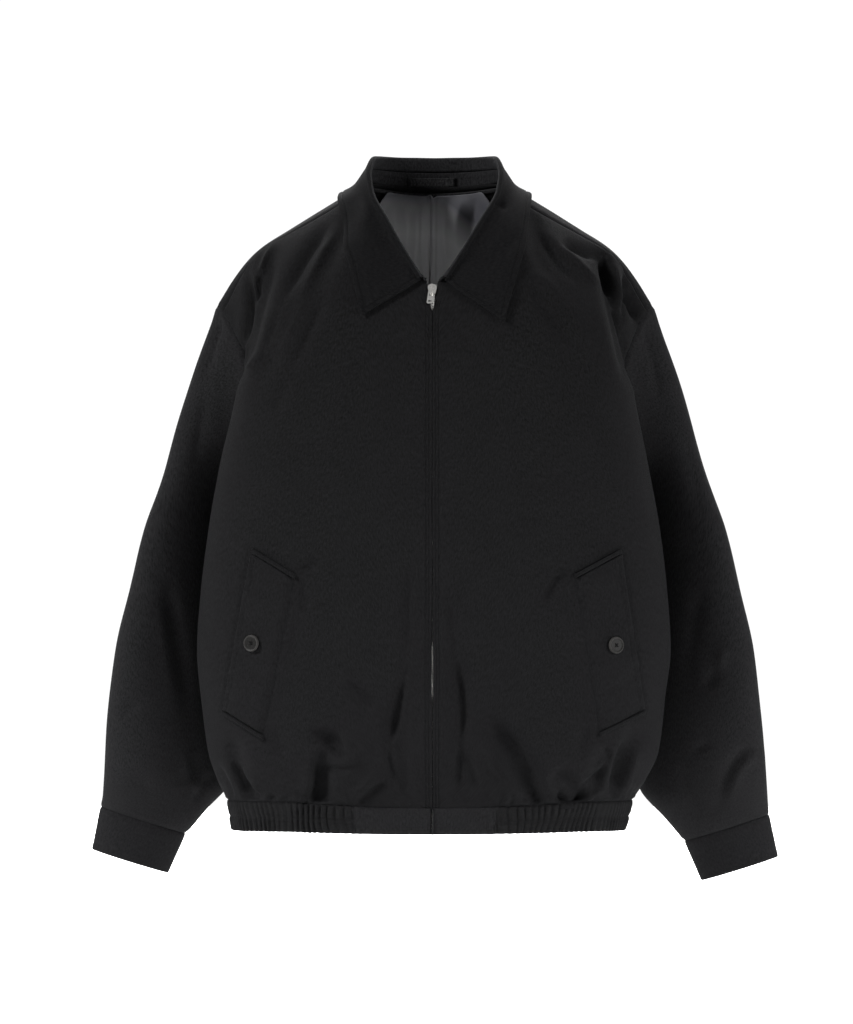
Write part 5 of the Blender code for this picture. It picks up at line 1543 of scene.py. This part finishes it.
# The twills: name, the darker and the paler tone as (grey, blue), the pitch of the wales in metres, how far
# they are turned in degrees, how deep they are in metres, and then roughness, sheen and specular.
TWILL = (0.0009, 62.0, 0.00012, 0.85)
COTTON = woven("black_twill", (0.0042, 0.0044), (0.0056, 0.0059), *TWILL, 0.01, 0.02)
# A paler copy of the cloth for the sleeves: painted light.
SLEEVE_COTTON_PAINTED_LIGHTER = woven("black_sleeve_twill_painted_lighter", (0.006, 0.0063), (0.0086, 0.009), *TWILL, 0.012, 0.02)
# A darker copy of the cloth for the collar leaf: painted shade.
COLLAR = woven("black_collar_twill_painted_darker", (0.0034, 0.0036), (0.0046, 0.0048), *TWILL, 0.008, 0.02)
# A paler copy of the cloth for the cuffs and the plain ends of the hem band: painted light.
BAND = woven("black_band_twill_painted_lighter", (0.0052, 0.0055), (0.0072, 0.0076), *TWILL, 0.012, 0.02)
# A still paler copy of the cloth for the stand and the leaf's inner rows: painted light over the shade inside
# the neck.
STAND = woven("black_stand_twill_painted_lighter", (0.0085, 0.009), (0.012, 0.0126), *TWILL, 0.012, 0.02)
RIB = woven("black_gathered_twill", (0.0044, 0.0047), (0.006, 0.0063), *TWILL, 0.01, 0.02)
# The tape is paler than the cloth: painted light that lifts the hanger loop and neck tape out of the shade
# inside the neck.
TAPE = woven("black_twill_tape_painted_lighter", (0.011, 0.0115), (0.017, 0.0175), 0.0011, 90.0, 0.00018, 0.8, 0.012, 0.04)
THREAD = woven("black_thread", (0.0022, 0.0024), (0.0032, 0.0034), 0.0006, 30.0, 0.00008, 0.7, 0.01, 0.04)
SATIN = satin()
NICKEL = nickel()


# Fronts
fronts, front_normals = {}, {}
for side, name in SIDES.items():
    grid = trimmed(fine_front(side), first_row=EDGE_TRIM, last_column=EDGE_TRIM, last_row=0.1)
    columns = np.concatenate([np.arange(0, 6, 1 / 3), np.arange(6, grid.shape[1])])
    grid = inserted_across(grid, columns)
    shut = zip_cover(grid[..., 2]) * bell(along_columns(grid), 9.0)
    grid[..., 0] -= side * shut * (FRONT_GAP - EDGE_TRIM)
    shaped, normal = panel(grid, FRONT_CREASES[side], True, FRONT_PHASE[side], (1, 0.6, 0, 1))
    top, _, _, bottom = FLAP_CORNERS[side]
    away = np.array([bottom[0] - top[0], bottom[1] - top[1]])
    run = ((shaped[..., [0, 2]] - np.array(top)) @ away) / (away @ away)
    beside = (shaped[..., 0] - top[0]) * away[1] - (shaped[..., 2] - top[1]) * away[0]
    beside = -side * beside / np.linalg.norm(away)
    on_flap = ease((run + 0.01) / 0.03) * ease((1.01 - run) / 0.03) * facing(normal, True)
    sink = FLAP_TROUGH * bell(beside - FLAP_TROUGH_AT, FLAP_TROUGH_WIDTH)
    shaped = shaped - normal * (sink * on_flap)[..., None]
    for distance in PLACKET_STITCHES:
        gap = np.abs(along_columns(shaped) - distance)
        low = ease((PLACKET_TOP_Z + 8 - shaped[..., 2]) / 12)
        trough = PLACKET_TROUGH * bell(gap, PLACKET_TROUGH_WIDTH) * low
        shaped = shaped - normal * trough[..., None]
    fronts[side], front_normals[side] = shaped, outward(shaped)
    with_allowance = tucked_beside(*tucked(fronts[side], front_normals[side], last=True))
    add_piece(f"cloth_front_{name}", *with_allowance, CLOTH, COTTON,
              (False, False, True, False), f"front_{name}")
    for distance in PLACKET_STITCHES:
        line, line_normal = inset(fronts[side], front_normals[side], distance)
        below = line[:, 2] < PLACKET_TOP_Z
        stitched("placket", line[below][::2], line_normal[below][::2])

# Back
back = trimmed(fine_back(), EDGE_TRIM, 0.1, EDGE_TRIM, EDGE_TRIM)
back, back_normals = panel(back, BACK_CREASES, False, 1.9, (1, 0.6, 0.8, 0.8))
add_piece("cloth_back", *tucked(back, back_normals, True, True), CLOTH, COTTON,
          (False, False, False, False), "back")

# Sleeves and cuffs
for side, name in SIDES.items():
    tube = fine_sleeve(side)
    normal = tube_normals(tube)
    down = along_rows(tube)
    left_over = down[-1:] - down
    mirror = (side, 1, side, 1, side, 1, 1, 1, 1)
    creases_behind = [tuple(m * value for m, value in zip(mirror, row)) for row in SLEEVE_BACK_CREASES]
    depth = SLEEVE_GAIN * crease_depth(tube[..., [0, 2]], SLEEVE_CREASES[side]) * facing(normal, True)
    depth += crease_depth(tube[..., [0, 2]], creases_behind) * facing(normal, False)
    depth += slow_waves(tube, 52.0, 0.4 + side) * 1.1
    depth *= ease(down / 20) * ease(left_over / 14)
    depth += SEAM_SINK * bell(down, SEAM_WIDTH) + 0.8 * SEAM_SINK * bell(left_over, SEAM_WIDTH)
    sleeve_head = bell(down - 9, 9) * np.clip(normal[..., 2], 0, 1)
    depth -= sleeve_head * 0.5
    tube = tube - normal * depth[..., None]
    tube[0] += unit(tube[1] - tube[0]) * EDGE_TRIM
    tube, _ = tucked(tube, tube_normals(tube), True, True)
    tube_piece(f"cloth_sleeve_{name}", tube, CLOTH, SLEEVE_COTTON_PAINTED_LIGHTER, f"sleeve_{name}")
    cuff = fine_cuff(side)
    normal = tube_normals(cuff)
    down = along_rows(cuff)
    depth = 0.7 * bell(down, 1.6) + slow_waves(cuff, 24.0, 1.2 * side) * 0.55
    depth += 0.3 * bell(down - 5.5, 1.0)
    cuff = cuff - normal * depth[..., None]
    cuff[0] += unit(cuff[0] - cuff[1]) * 0.7
    normal = tube_normals(cuff)
    tube_piece(f"cloth_cuff_{name}", cuff, BAND_CLOTH, BAND, f"cuff_{name}")
    ring = np.concatenate([cuff[2], cuff[2][:1]])
    stitched(f"cuff_{name}", ring, np.concatenate([normal[2], normal[2][:1]]))

# Hem
band_shares = np.linspace(0, 1, BAND_ROWS)
for side, name in SIDES.items():
    angles = np.linspace(0, band_angle(PLAIN_BAND_X[side], side), PLAIN_BAND_COLUMNS)
    grid = np.stack([band_level(angles, side, share) for share in band_shares])
    grid[:, 0, 0] = ZIP_X + side * FRONT_GAP
    grid = trimmed(grid, last_column=-1.2, first_row=-0.7)
    normal = outward(grid)
    down, _, _, from_elastic = edge_gaps(grid)
    fade = ease(from_elastic / 30)
    depth = 0.5 * bell(down, 1.4) + slow_waves(grid, 22.0, side) * 0.3
    depth -= gathers(round_the_body(grid)) * BAND_GATHER * 0.5 * (1 - fade)
    grid = grid - normal * depth[..., None]
    add_piece(f"cloth_hem_plain_{name}", grid, outward(grid), BAND_CLOTH, BAND,
              (False, True, True, False), f"hem_plain_{name}")
halves = []
for side in (LEFT, RIGHT):
    end = band_angle(PLAIN_BAND_X[side], side)
    angles = np.linspace(180, end, 560)
    level = torso_point(angles, np.full(angles.shape, HEM_SEAM_Z), side)
    steps = np.concatenate([[0.0], np.cumsum(np.linalg.norm(np.diff(level, axis=0), axis=1))])
    angles = np.interp(np.linspace(0, steps[-1], ELASTIC_COLUMNS), steps, angles)
    halves.append(np.stack([band_level(angles, side, share) for share in band_shares]))
grid = trimmed(joined_halves(*halves), first_column=0.1, last_column=0.1, first_row=-0.7)
normal = outward(grid)
down = along_rows(grid)
height = down[-1:]
middle = (down / height - 0.5) * 2
place = round_the_body(grid) + 1.2 * np.sin(middle * 1.9 + grid[..., 0] / 23.0)
pinch = 1 - 0.55 * bell(middle, 0.16) - 0.4 * bell(middle + 1, 0.14)
uneven = 0.8 + 0.3 * np.sin(grid[..., 0] / 31.0 + 1.7 * middle) + 0.15 * np.sin(grid[..., 0] / 11.0)
depth = -gathers(place) * BAND_GATHER * pinch * uneven
depth += 0.9 * bell(middle, 0.1) + 0.5 * bell(down, 1.5)
band_puff = 0.9 * (1 - middle**2)
grid = grid - normal * (depth - band_puff)[..., None]
band_normals = outward(grid)
add_piece("cloth_hem_elastic", grid, band_normals, BAND_CLOTH, RIB,
          (False, True, False, False), "hem_elastic")
stitched("hem", grid[BAND_STITCH_ROW], band_normals[BAND_STITCH_ROW], 2.4, 0.8)

# Collar
panels = joined_tree([fronts[LEFT][::3, ::3], fronts[RIGHT][::3, ::3], back[::3, ::3]])
stand, leaf = collar_grids(panels)
leaf = smoothed(leaf, LEAF_FINE_ROWS, COLLAR_FINE_COLUMNS)
last_row, last = LEAF_FINE_ROWS - 1, COLLAR_FINE_COLUMNS - 1
rows = np.concatenate([np.arange(0, last_row - 7), np.arange(last_row - 7, last_row, 1 / 3), [last_row]])
columns = [np.arange(0, 8, 0.25), np.arange(8, last - 8), np.arange(last - 8, last, 0.25), [last]]
leaf = inserted_across(inserted(leaf, rows), np.concatenate(columns))
under = normals_of(leaf)
under = -under if ((leaf[30:] - np.array([0.0, -20.0, -200.0])) * under[30:]).sum() > 0 else under
over = -under
fall = ease((np.arange(len(leaf)) - LEAF_FALL_ROW) / 8)[:, None]
depth = crease_depth(leaf[..., [0, 2]], LEAF_CREASES) * facing(over, True) * fall
depth += slow_waves(leaf, 30.0, 2.2) * 0.35 * fall
_, left_over, from_left, from_right = edge_gaps(leaf)
ends = np.minimum(from_left, from_right)
edge = np.minimum(left_over, ends + 100 * (1 - fall))
depth += (0.75 * bell(edge - COLLAR_STITCH, 0.9) - 0.35 * bell(edge - 2.6, 2.0)) * fall
leaf = leaf - over * depth[..., None]
over = -normals_of(leaf) if (normals_of(leaf) * over).sum() < 0 else normals_of(leaf)
piece = add_piece("cloth_collar_leaf", leaf, over, COLLAR_CLOTH, COLLAR,
                  (False, True, True, True), "collar_leaf")
# The leaf's inner rows take the paler stand twill: painted light over the shade where the leaf rolls over.
piece.data.materials.append(STAND)
cells = len(rim_places(leaf.shape[1], True, True)) - 1
painted_lit_inside_faces = np.zeros(len(piece.data.polygons), int)
painted_lit_inside_faces[: LEAF_INSIDE_ROWS * cells] = 1
piece.data.polygons.foreach_set("material_index", painted_lit_inside_faces)
line, line_normals = inset(np.swapaxes(leaf[::-1], 0, 1), np.swapaxes(over[::-1], 0, 1), COLLAR_STITCH)
inside = ends[-12] > COLLAR_STITCH
stitched("collar", line[inside], line_normals[inside])
for turned, turned_normals in ((leaf, over), (leaf[:, ::-1], over[:, ::-1])):
    line, line_normals = inset(turned, turned_normals, COLLAR_STITCH)
    rows = (np.arange(len(leaf)) > LEAF_FALL_ROW + 2) & (left_over[:, 12] > COLLAR_STITCH)
    stitched("collar", line[rows], line_normals[rows])
slit = laid_on(surface_tree(leaf[::2, ::2]), np.array([[65.2, -118.5], [66.8, -123.5]]), 0.2)
stitched("collar", slit[0], slit[1], 2.0, 0.6, 0.4)

stand = smoothed(stand, STAND_FINE_ROWS, COLLAR_FINE_COLUMNS)
behind_normals = outward(stand, centre=np.array([0.0, -20.0, 10.0]))
stand[0] += unit(stand[0] - stand[2]) * 2.0
face = stand + behind_normals * (slow_waves(stand, 26.0, 0.6) * 0.25)[..., None]
behind = stand + behind_normals * COLLAR_CLOTH
behind[0] += unit(stand[2] - stand[0]) * STAND_BEVEL
standing_for(cloth_piece("cloth_collar_stand", face, behind, STAND), "cotton", "collar_stand")
middle = np.abs(face[10, :, 0]) < 76
stitched("collar", face[10, middle], -behind_normals[10, middle], 2.7, 0.9, 0.22)

# Hanger loop: a strip bowed off the stand, with its ends folded in and boxed with stitches
stand_tree = surface_tree(face[:, ::2])
across = np.linspace(0, 1, LOOP_COLUMNS)
tall = np.linspace(LOOP_Z[1], LOOP_Z[0], LOOP_ROWS)
loop_x = LOOP_X[0] + (LOOP_X[1] - LOOP_X[0]) * across
places = np.stack([np.stack([loop_x, np.full(len(across), z)], axis=1) for z in tall])
spots, loop_normals = laid_on(stand_tree, places, 0.0, start_y=0.0)
end_part = np.minimum(across, 1 - across) * (LOOP_X[1] - LOOP_X[0])
bow = LOOP_GAP + LOOP_BOW * np.sin(np.pi * across) ** 0.5
fold_in = 0.55 * ease((9.0 - end_part) / 1.2)
near = spots + loop_normals * bow[None, :, None]
face = near + loop_normals * (LOOP_CLOTH + fold_in)[None, :, None]
standing_for(cloth_piece("cloth_hanger_loop", face, near, TAPE), "tape", "hanger_loop")
loop_out = unit(face - near)
for row in (1, -2):
    stitched("loop", face[row], loop_out[row], 2.2, 0.7, 0.22)
for column in (2, 9, -10, -3):
    stitched("loop", face[1:-1, column], loop_out[1:-1, column], 2.0, 0.6, 0.22)

# Neck tape
middle = back.shape[1] // 2
reach = 30
neck = slice(middle - reach, middle + reach + 1)
down = unit(back[12, neck] - back[0, neck])
inward = -back_normals[4, neck]
drops = [1 + NECK_TAPE_HEIGHT * t for t in np.linspace(0, 1, 6)]
face = np.stack([back[0, neck] + down * drop + inward * NECK_TAPE_IN for drop in drops])
piece = cloth_piece("cloth_neck_tape", face + inward[None] * NECK_TAPE_CLOTH, face, TAPE)
standing_for(piece, "tape", "neck_tape")
stitched("tape", face[4] + inward * NECK_TAPE_CLOTH, inward, 2.4, 0.9, 0.2)

# Lining: two halves of satin with a pleat at centre back
halves = []
share = np.linspace(0, 1, 100) ** 1.4
for side in (LEFT, RIGHT):
    columns = []
    for k in range(0, middle, 2):
        column = back[:, middle + side * k]
        reach_out = abs(column[0, 0])
        drop = LINING_NECK_DROP + (LINING_SHOULDER_DROP - LINING_NECK_DROP) * ease((reach_out - 50) / 36)
        length = np.linalg.norm(np.diff(column, axis=0), axis=1).sum()
        columns.append(resample(column, (drop + (length - drop - LINING_END) * share) / length))
    halves.append(np.stack(columns, axis=1))
grid = np.concatenate([halves[0][:, :0:-1], halves[1]], axis=1)
centre = len(halves[0][0]) - 1
first, last = centre - LINING_CLOSE, centre + LINING_CLOSE
close = np.arange(first, last, 1 / LINING_SPLIT)
places = np.concatenate([np.arange(first), close, np.arange(last, grid.shape[1])])
grid = across_smoothly(grid, places)
inward = -outward(grid)
x, z = grid[..., 0] - LINING_PLEAT_X, grid[..., 2]
pleat = 4.2 * bell(x + 0.9, 1.7) - 4.0 * bell(x - 2.8, 2.0)
fade = ease((along_rows(grid) + 2) / 14)
depth = crease_depth(grid[..., [0, 2]], LINING_CREASES) + slow_waves(grid, 26.0, 3.1) * 1.2
depth = depth * fade + pleat * ease((z + 330) / 90)
grid = grid + inward * (LINING_IN - np.clip(depth, *LINING_FOLD_LIMITS))[..., None]
inward = -outward(grid)
piece = cloth_piece("cloth_lining_back", grid + inward * LINING_CLOTH, grid, SATIN)
standing_for(piece, "lining", "lining_back")

# Pockets
front_trees = {side: surface_tree(fronts[side][::2, ::2]) for side in (LEFT, RIGHT)}
for side, name in SIDES.items():
    corners = FLAP_CORNERS[side]
    tree = front_trees[side]
    length = np.linalg.norm(np.subtract(corners[3], corners[0]))
    end = RIDGE_WIDTH / length
    gap = 2 * SEAM_GAP / length
    along = np.linspace(end + gap, 1 - end - gap, FLAP_ROWS)
    flap = lying_on(tree, flap_places(corners, np.linspace(0, 1, FLAP_COLUMNS), along))
    for _ in range(3):
        beside = flap[:-2, 1:-1] + flap[2:, 1:-1] + flap[1:-1, :-2] + flap[1:-1, 2:]
        flap[1:-1, 1:-1] = flap[1:-1, 1:-1] * 0.4 + 0.15 * beside
    out = outward(flap)
    _, _, free, sewn = edge_gaps(flap)
    puff = slow_waves(flap, 17.0, 0.9 * side) * 0.5
    puff -= 0.35 * bell(sewn - 6.5, 1.0) + 0.4 * bell(free - 5.5, 1.1)
    puff += 0.8 * bell(free, 5.0)
    button_gap = np.linalg.norm(flap[..., [0, 2]] - np.array(BUTTON_AT[side]), axis=-1)
    puff -= 0.35 * bell(button_gap, 14.0)
    sewn_down = ease(1 - sewn / 9.0)
    puff = np.minimum(puff, 0.9) - (FLAP_LIFT + FLAP_CLOTH - 0.25) * sewn_down
    under = flap + out * (FLAP_CLOTH - 2.2 * sewn_down)[..., None]
    _, inner = rolled(under, out, FLAP_CLOTH)
    face = flap + out * (FLAP_CLOTH + puff)[..., None]
    out = outward(face)
    outer, _ = rolled(face, out, FLAP_CLOTH)
    piece = cloth_piece(f"cloth_pocket_flap_{name}", outer, inner, COTTON)
    standing_for(piece, "cotton", f"pocket_flap_{name}")
    stitched("pockets", *inset(face[:, ::-1], out[:, ::-1], FLAP_SEWN_STITCH))
    stitched("pockets", *inset(face, out, FLAP_FREE_STITCH))
    for label, low, high in (("upper", 0.0, end), ("lower", 1 - end, 1.0)):
        ridge_across = np.linspace(0, 1, RIDGE_COLUMNS)
        strip = lying_on(tree, flap_places(corners, ridge_across, np.linspace(low, high, RIDGE_ROWS)))
        strip_normal = outward(strip)
        round_over = 0.5 * np.cos(np.linspace(-1, 1, RIDGE_ROWS) * 1.3)[:, None]
        face = strip + strip_normal * (RIDGE_CLOTH - 0.3 + round_over)[..., None]
        outer, _ = rolled(face, strip_normal, RIDGE_BASE)
        _, inner = rolled(strip + strip_normal * RIDGE_BASE, strip_normal, RIDGE_BASE)
        piece = cloth_piece(f"cloth_pocket_end_{label}_{name}", outer, inner, COTTON)
        standing_for(piece, "cotton", f"pocket_end_{label}_{name}")
        stitched("pockets", face[RIDGE_ROWS // 2], strip_normal[RIDGE_ROWS // 2], 2.4, 0.8)
        beyond = -1.6 / length if label == "upper" else 1 + 1.6 / length
        edge = lying_on(tree, flap_places(corners, ridge_across, np.array([beyond, beyond])))[0]
        stitched("pockets", edge - strip_normal[0] * 0.8, strip_normal[0], 2.4, 0.8)

# Buttons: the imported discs, with crossed threads through their holes
for side, name in SIDES.items():
    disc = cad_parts[f"button_{name}"]
    low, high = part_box(f"button_{name}")
    centre = np.array((low + high) / 2) / MM
    disc.data.materials.clear()
    disc.data.materials.append(horn(centre))
    points = np.array([v.co for v in disc.data.vertices]) / MM
    _, _, axes = np.linalg.svd(points - points.mean(axis=0))
    out = axes[2] if axes[2][1] < 0 else -axes[2]
    top = (points @ out).max() - BUTTON_DISH + 0.1
    middle = points.mean(axis=0)
    middle = middle + out * (top - middle @ out)
    across = unit(np.cross(out, np.array([0.0, 0.0, 1.0])))
    up = np.cross(out, across)
    for first, second in ((0, 2), (1, 3)):
        ends = []
        for k in (first, second):
            turn = math.radians(45 + 90 * k)
            ends.append(middle + (across * math.cos(turn) + up * math.sin(turn)) * (BUTTON_HOLE_RING + 0.5))
        for shift in (-0.28, 0.0, 0.28):
            sidestep = unit(np.cross(ends[1] - ends[0], out)) * shift
            line = np.linspace(ends[0] + sidestep, ends[1] + sidestep, 4)
            stitched("buttons", line, np.tile(out, (4, 1)), 4.0, 0.05, 0.24, 0.15 + 0.2 * first)

# Zip
for side, name in SIDES.items():
    line = smoothed(centre_front(TAPE_TOP_Z, ZIP_BOTTOM_Z)[:, None].repeat(2, axis=1), 200, 2)[:, 0]
    slope = np.gradient(line, axis=0)
    inward = unit(np.stack([np.zeros(len(line)), -slope[:, 2], slope[:, 1]], axis=1))
    inward = inward if inward[:, 1].mean() > 0 else -inward
    offsets = np.linspace(CHAIN_HALF_WIDTH + 0.3, TAPE_WIDTH, 9)
    cloth_depth = ZIP_DEPTH + (CHAIN_THICKNESS - TAPE_CLOTH) / 2
    grid = np.stack([line + inward * cloth_depth] * len(offsets), axis=1)
    grid[..., 0] = ZIP_X + side * offsets
    rib = 0.12 * np.sin(offsets * 3.4)[None, :, None]
    near, far = grid + inward[:, None] * rib * 0.5, grid + inward[:, None] * TAPE_CLOTH
    standing_for(cloth_piece(f"cloth_zip_tape_{name}", near, far, TAPE), "tape", f"zip_tape_{name}")
    steps = np.linalg.norm(np.diff(line, axis=0), axis=1)
    total = np.concatenate([[0.0], np.cumsum(steps)])
    first = np.interp(-TEETH_TOP_Z, -line[:, 2], total) + 1.0
    at = np.arange(first + (0.5 + 0.5 * side) * TOOTH_PITCH / 2, total[-1] - 1.0, TOOTH_PITCH)
    centre = np.stack([np.interp(at, total, line[:, k]) for k in range(3)], axis=1)
    back_in = unit(np.stack([np.interp(at, total, inward[:, k]) for k in range(3)], axis=1))
    centre = centre + back_in * (ZIP_DEPTH + CHAIN_THICKNESS / 2)
    centre[:, 0] = ZIP_X + side * (CHAIN_HALF_WIDTH / 2 - 0.1)
    across = np.tile([1.0, 0.0, 0.0], (len(at), 1))
    tooth = (CHAIN_HALF_WIDTH + 0.9, TOOTH_PITCH * 0.58, CHAIN_THICKNESS)
    points, quads = blocks(centre, across, np.cross(back_in, across), -back_in, tooth)
    piece = mesh_object(f"zip_teeth_row_{name}", points, quads, NICKEL)
    standing_for(piece, "nickel", f"zip_teeth_{name}")
for name in ("zip_slider", "pull_tab"):
    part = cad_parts[name]
    part.data.materials.clear()
    part.data.materials.append(NICKEL)

make_stitches(THREAD)

# Floor, light and camera
bpy.ops.mesh.primitive_plane_add(size=14.0, location=(0.0, 0.0, FLOOR_Z * MM))
floor = bpy.context.object
floor.name = "floor"
pale = Nodes("pale_floor", (0.97, 0.97, 0.97), 0.95, specular=0.0)
floor.data.materials.append(pale.material)

world = bpy.data.worlds.new("soft_white")
bpy.context.scene.world = world
world.use_nodes = True
sky = world.node_tree.nodes["Background"]
sky.inputs["Color"].default_value = (1.0, 1.0, 1.0, 1.0)
towards = world.node_tree.nodes.new("ShaderNodeTexCoord")
split = world.node_tree.nodes.new("ShaderNodeSeparateXYZ")
glow = world.node_tree.nodes.new("ShaderNodeMapRange")
for name, value in (("From Min", -0.2), ("From Max", 0.5), ("To Min", 0.32), ("To Max", 1.05)):
    glow.inputs[name].default_value = value
world.node_tree.links.new(towards.outputs["Generated"], split.inputs["Vector"])
world.node_tree.links.new(split.outputs["Y"], glow.inputs["Value"])
world.node_tree.links.new(glow.outputs["Result"], sky.inputs["Strength"])

soft_light("key", (-2.7, -1.5, 1.7), (0, 0, -0.35), 0.9, 225.0)
soft_light("side", (2.9, -1.4, 0.3), (0, 0, -0.35), 1.4, 120.0)
soft_light("backdrop", (0.0, 4.5, 3.0), (0, 4.0, -0.9), 5.0, 900.0)

camera_data = bpy.data.cameras.new("camera")
camera_data.sensor_fit = "AUTO"
camera_data.sensor_width = 36.0
camera_data.lens = 36.0 * VIEW_DISTANCE / VIEW_HEIGHT
camera_data.clip_end = 100.0
camera = bpy.data.objects.new("camera", camera_data)
bpy.context.scene.collection.objects.link(camera)
camera.location = (VIEW_X * MM, -VIEW_DISTANCE * MM, VIEW_Z * MM)
camera.rotation_euler = (math.pi / 2, 0.0, 0.0)
bpy.context.scene.camera = camera
bpy.context.scene.view_settings.view_transform = "Standard"
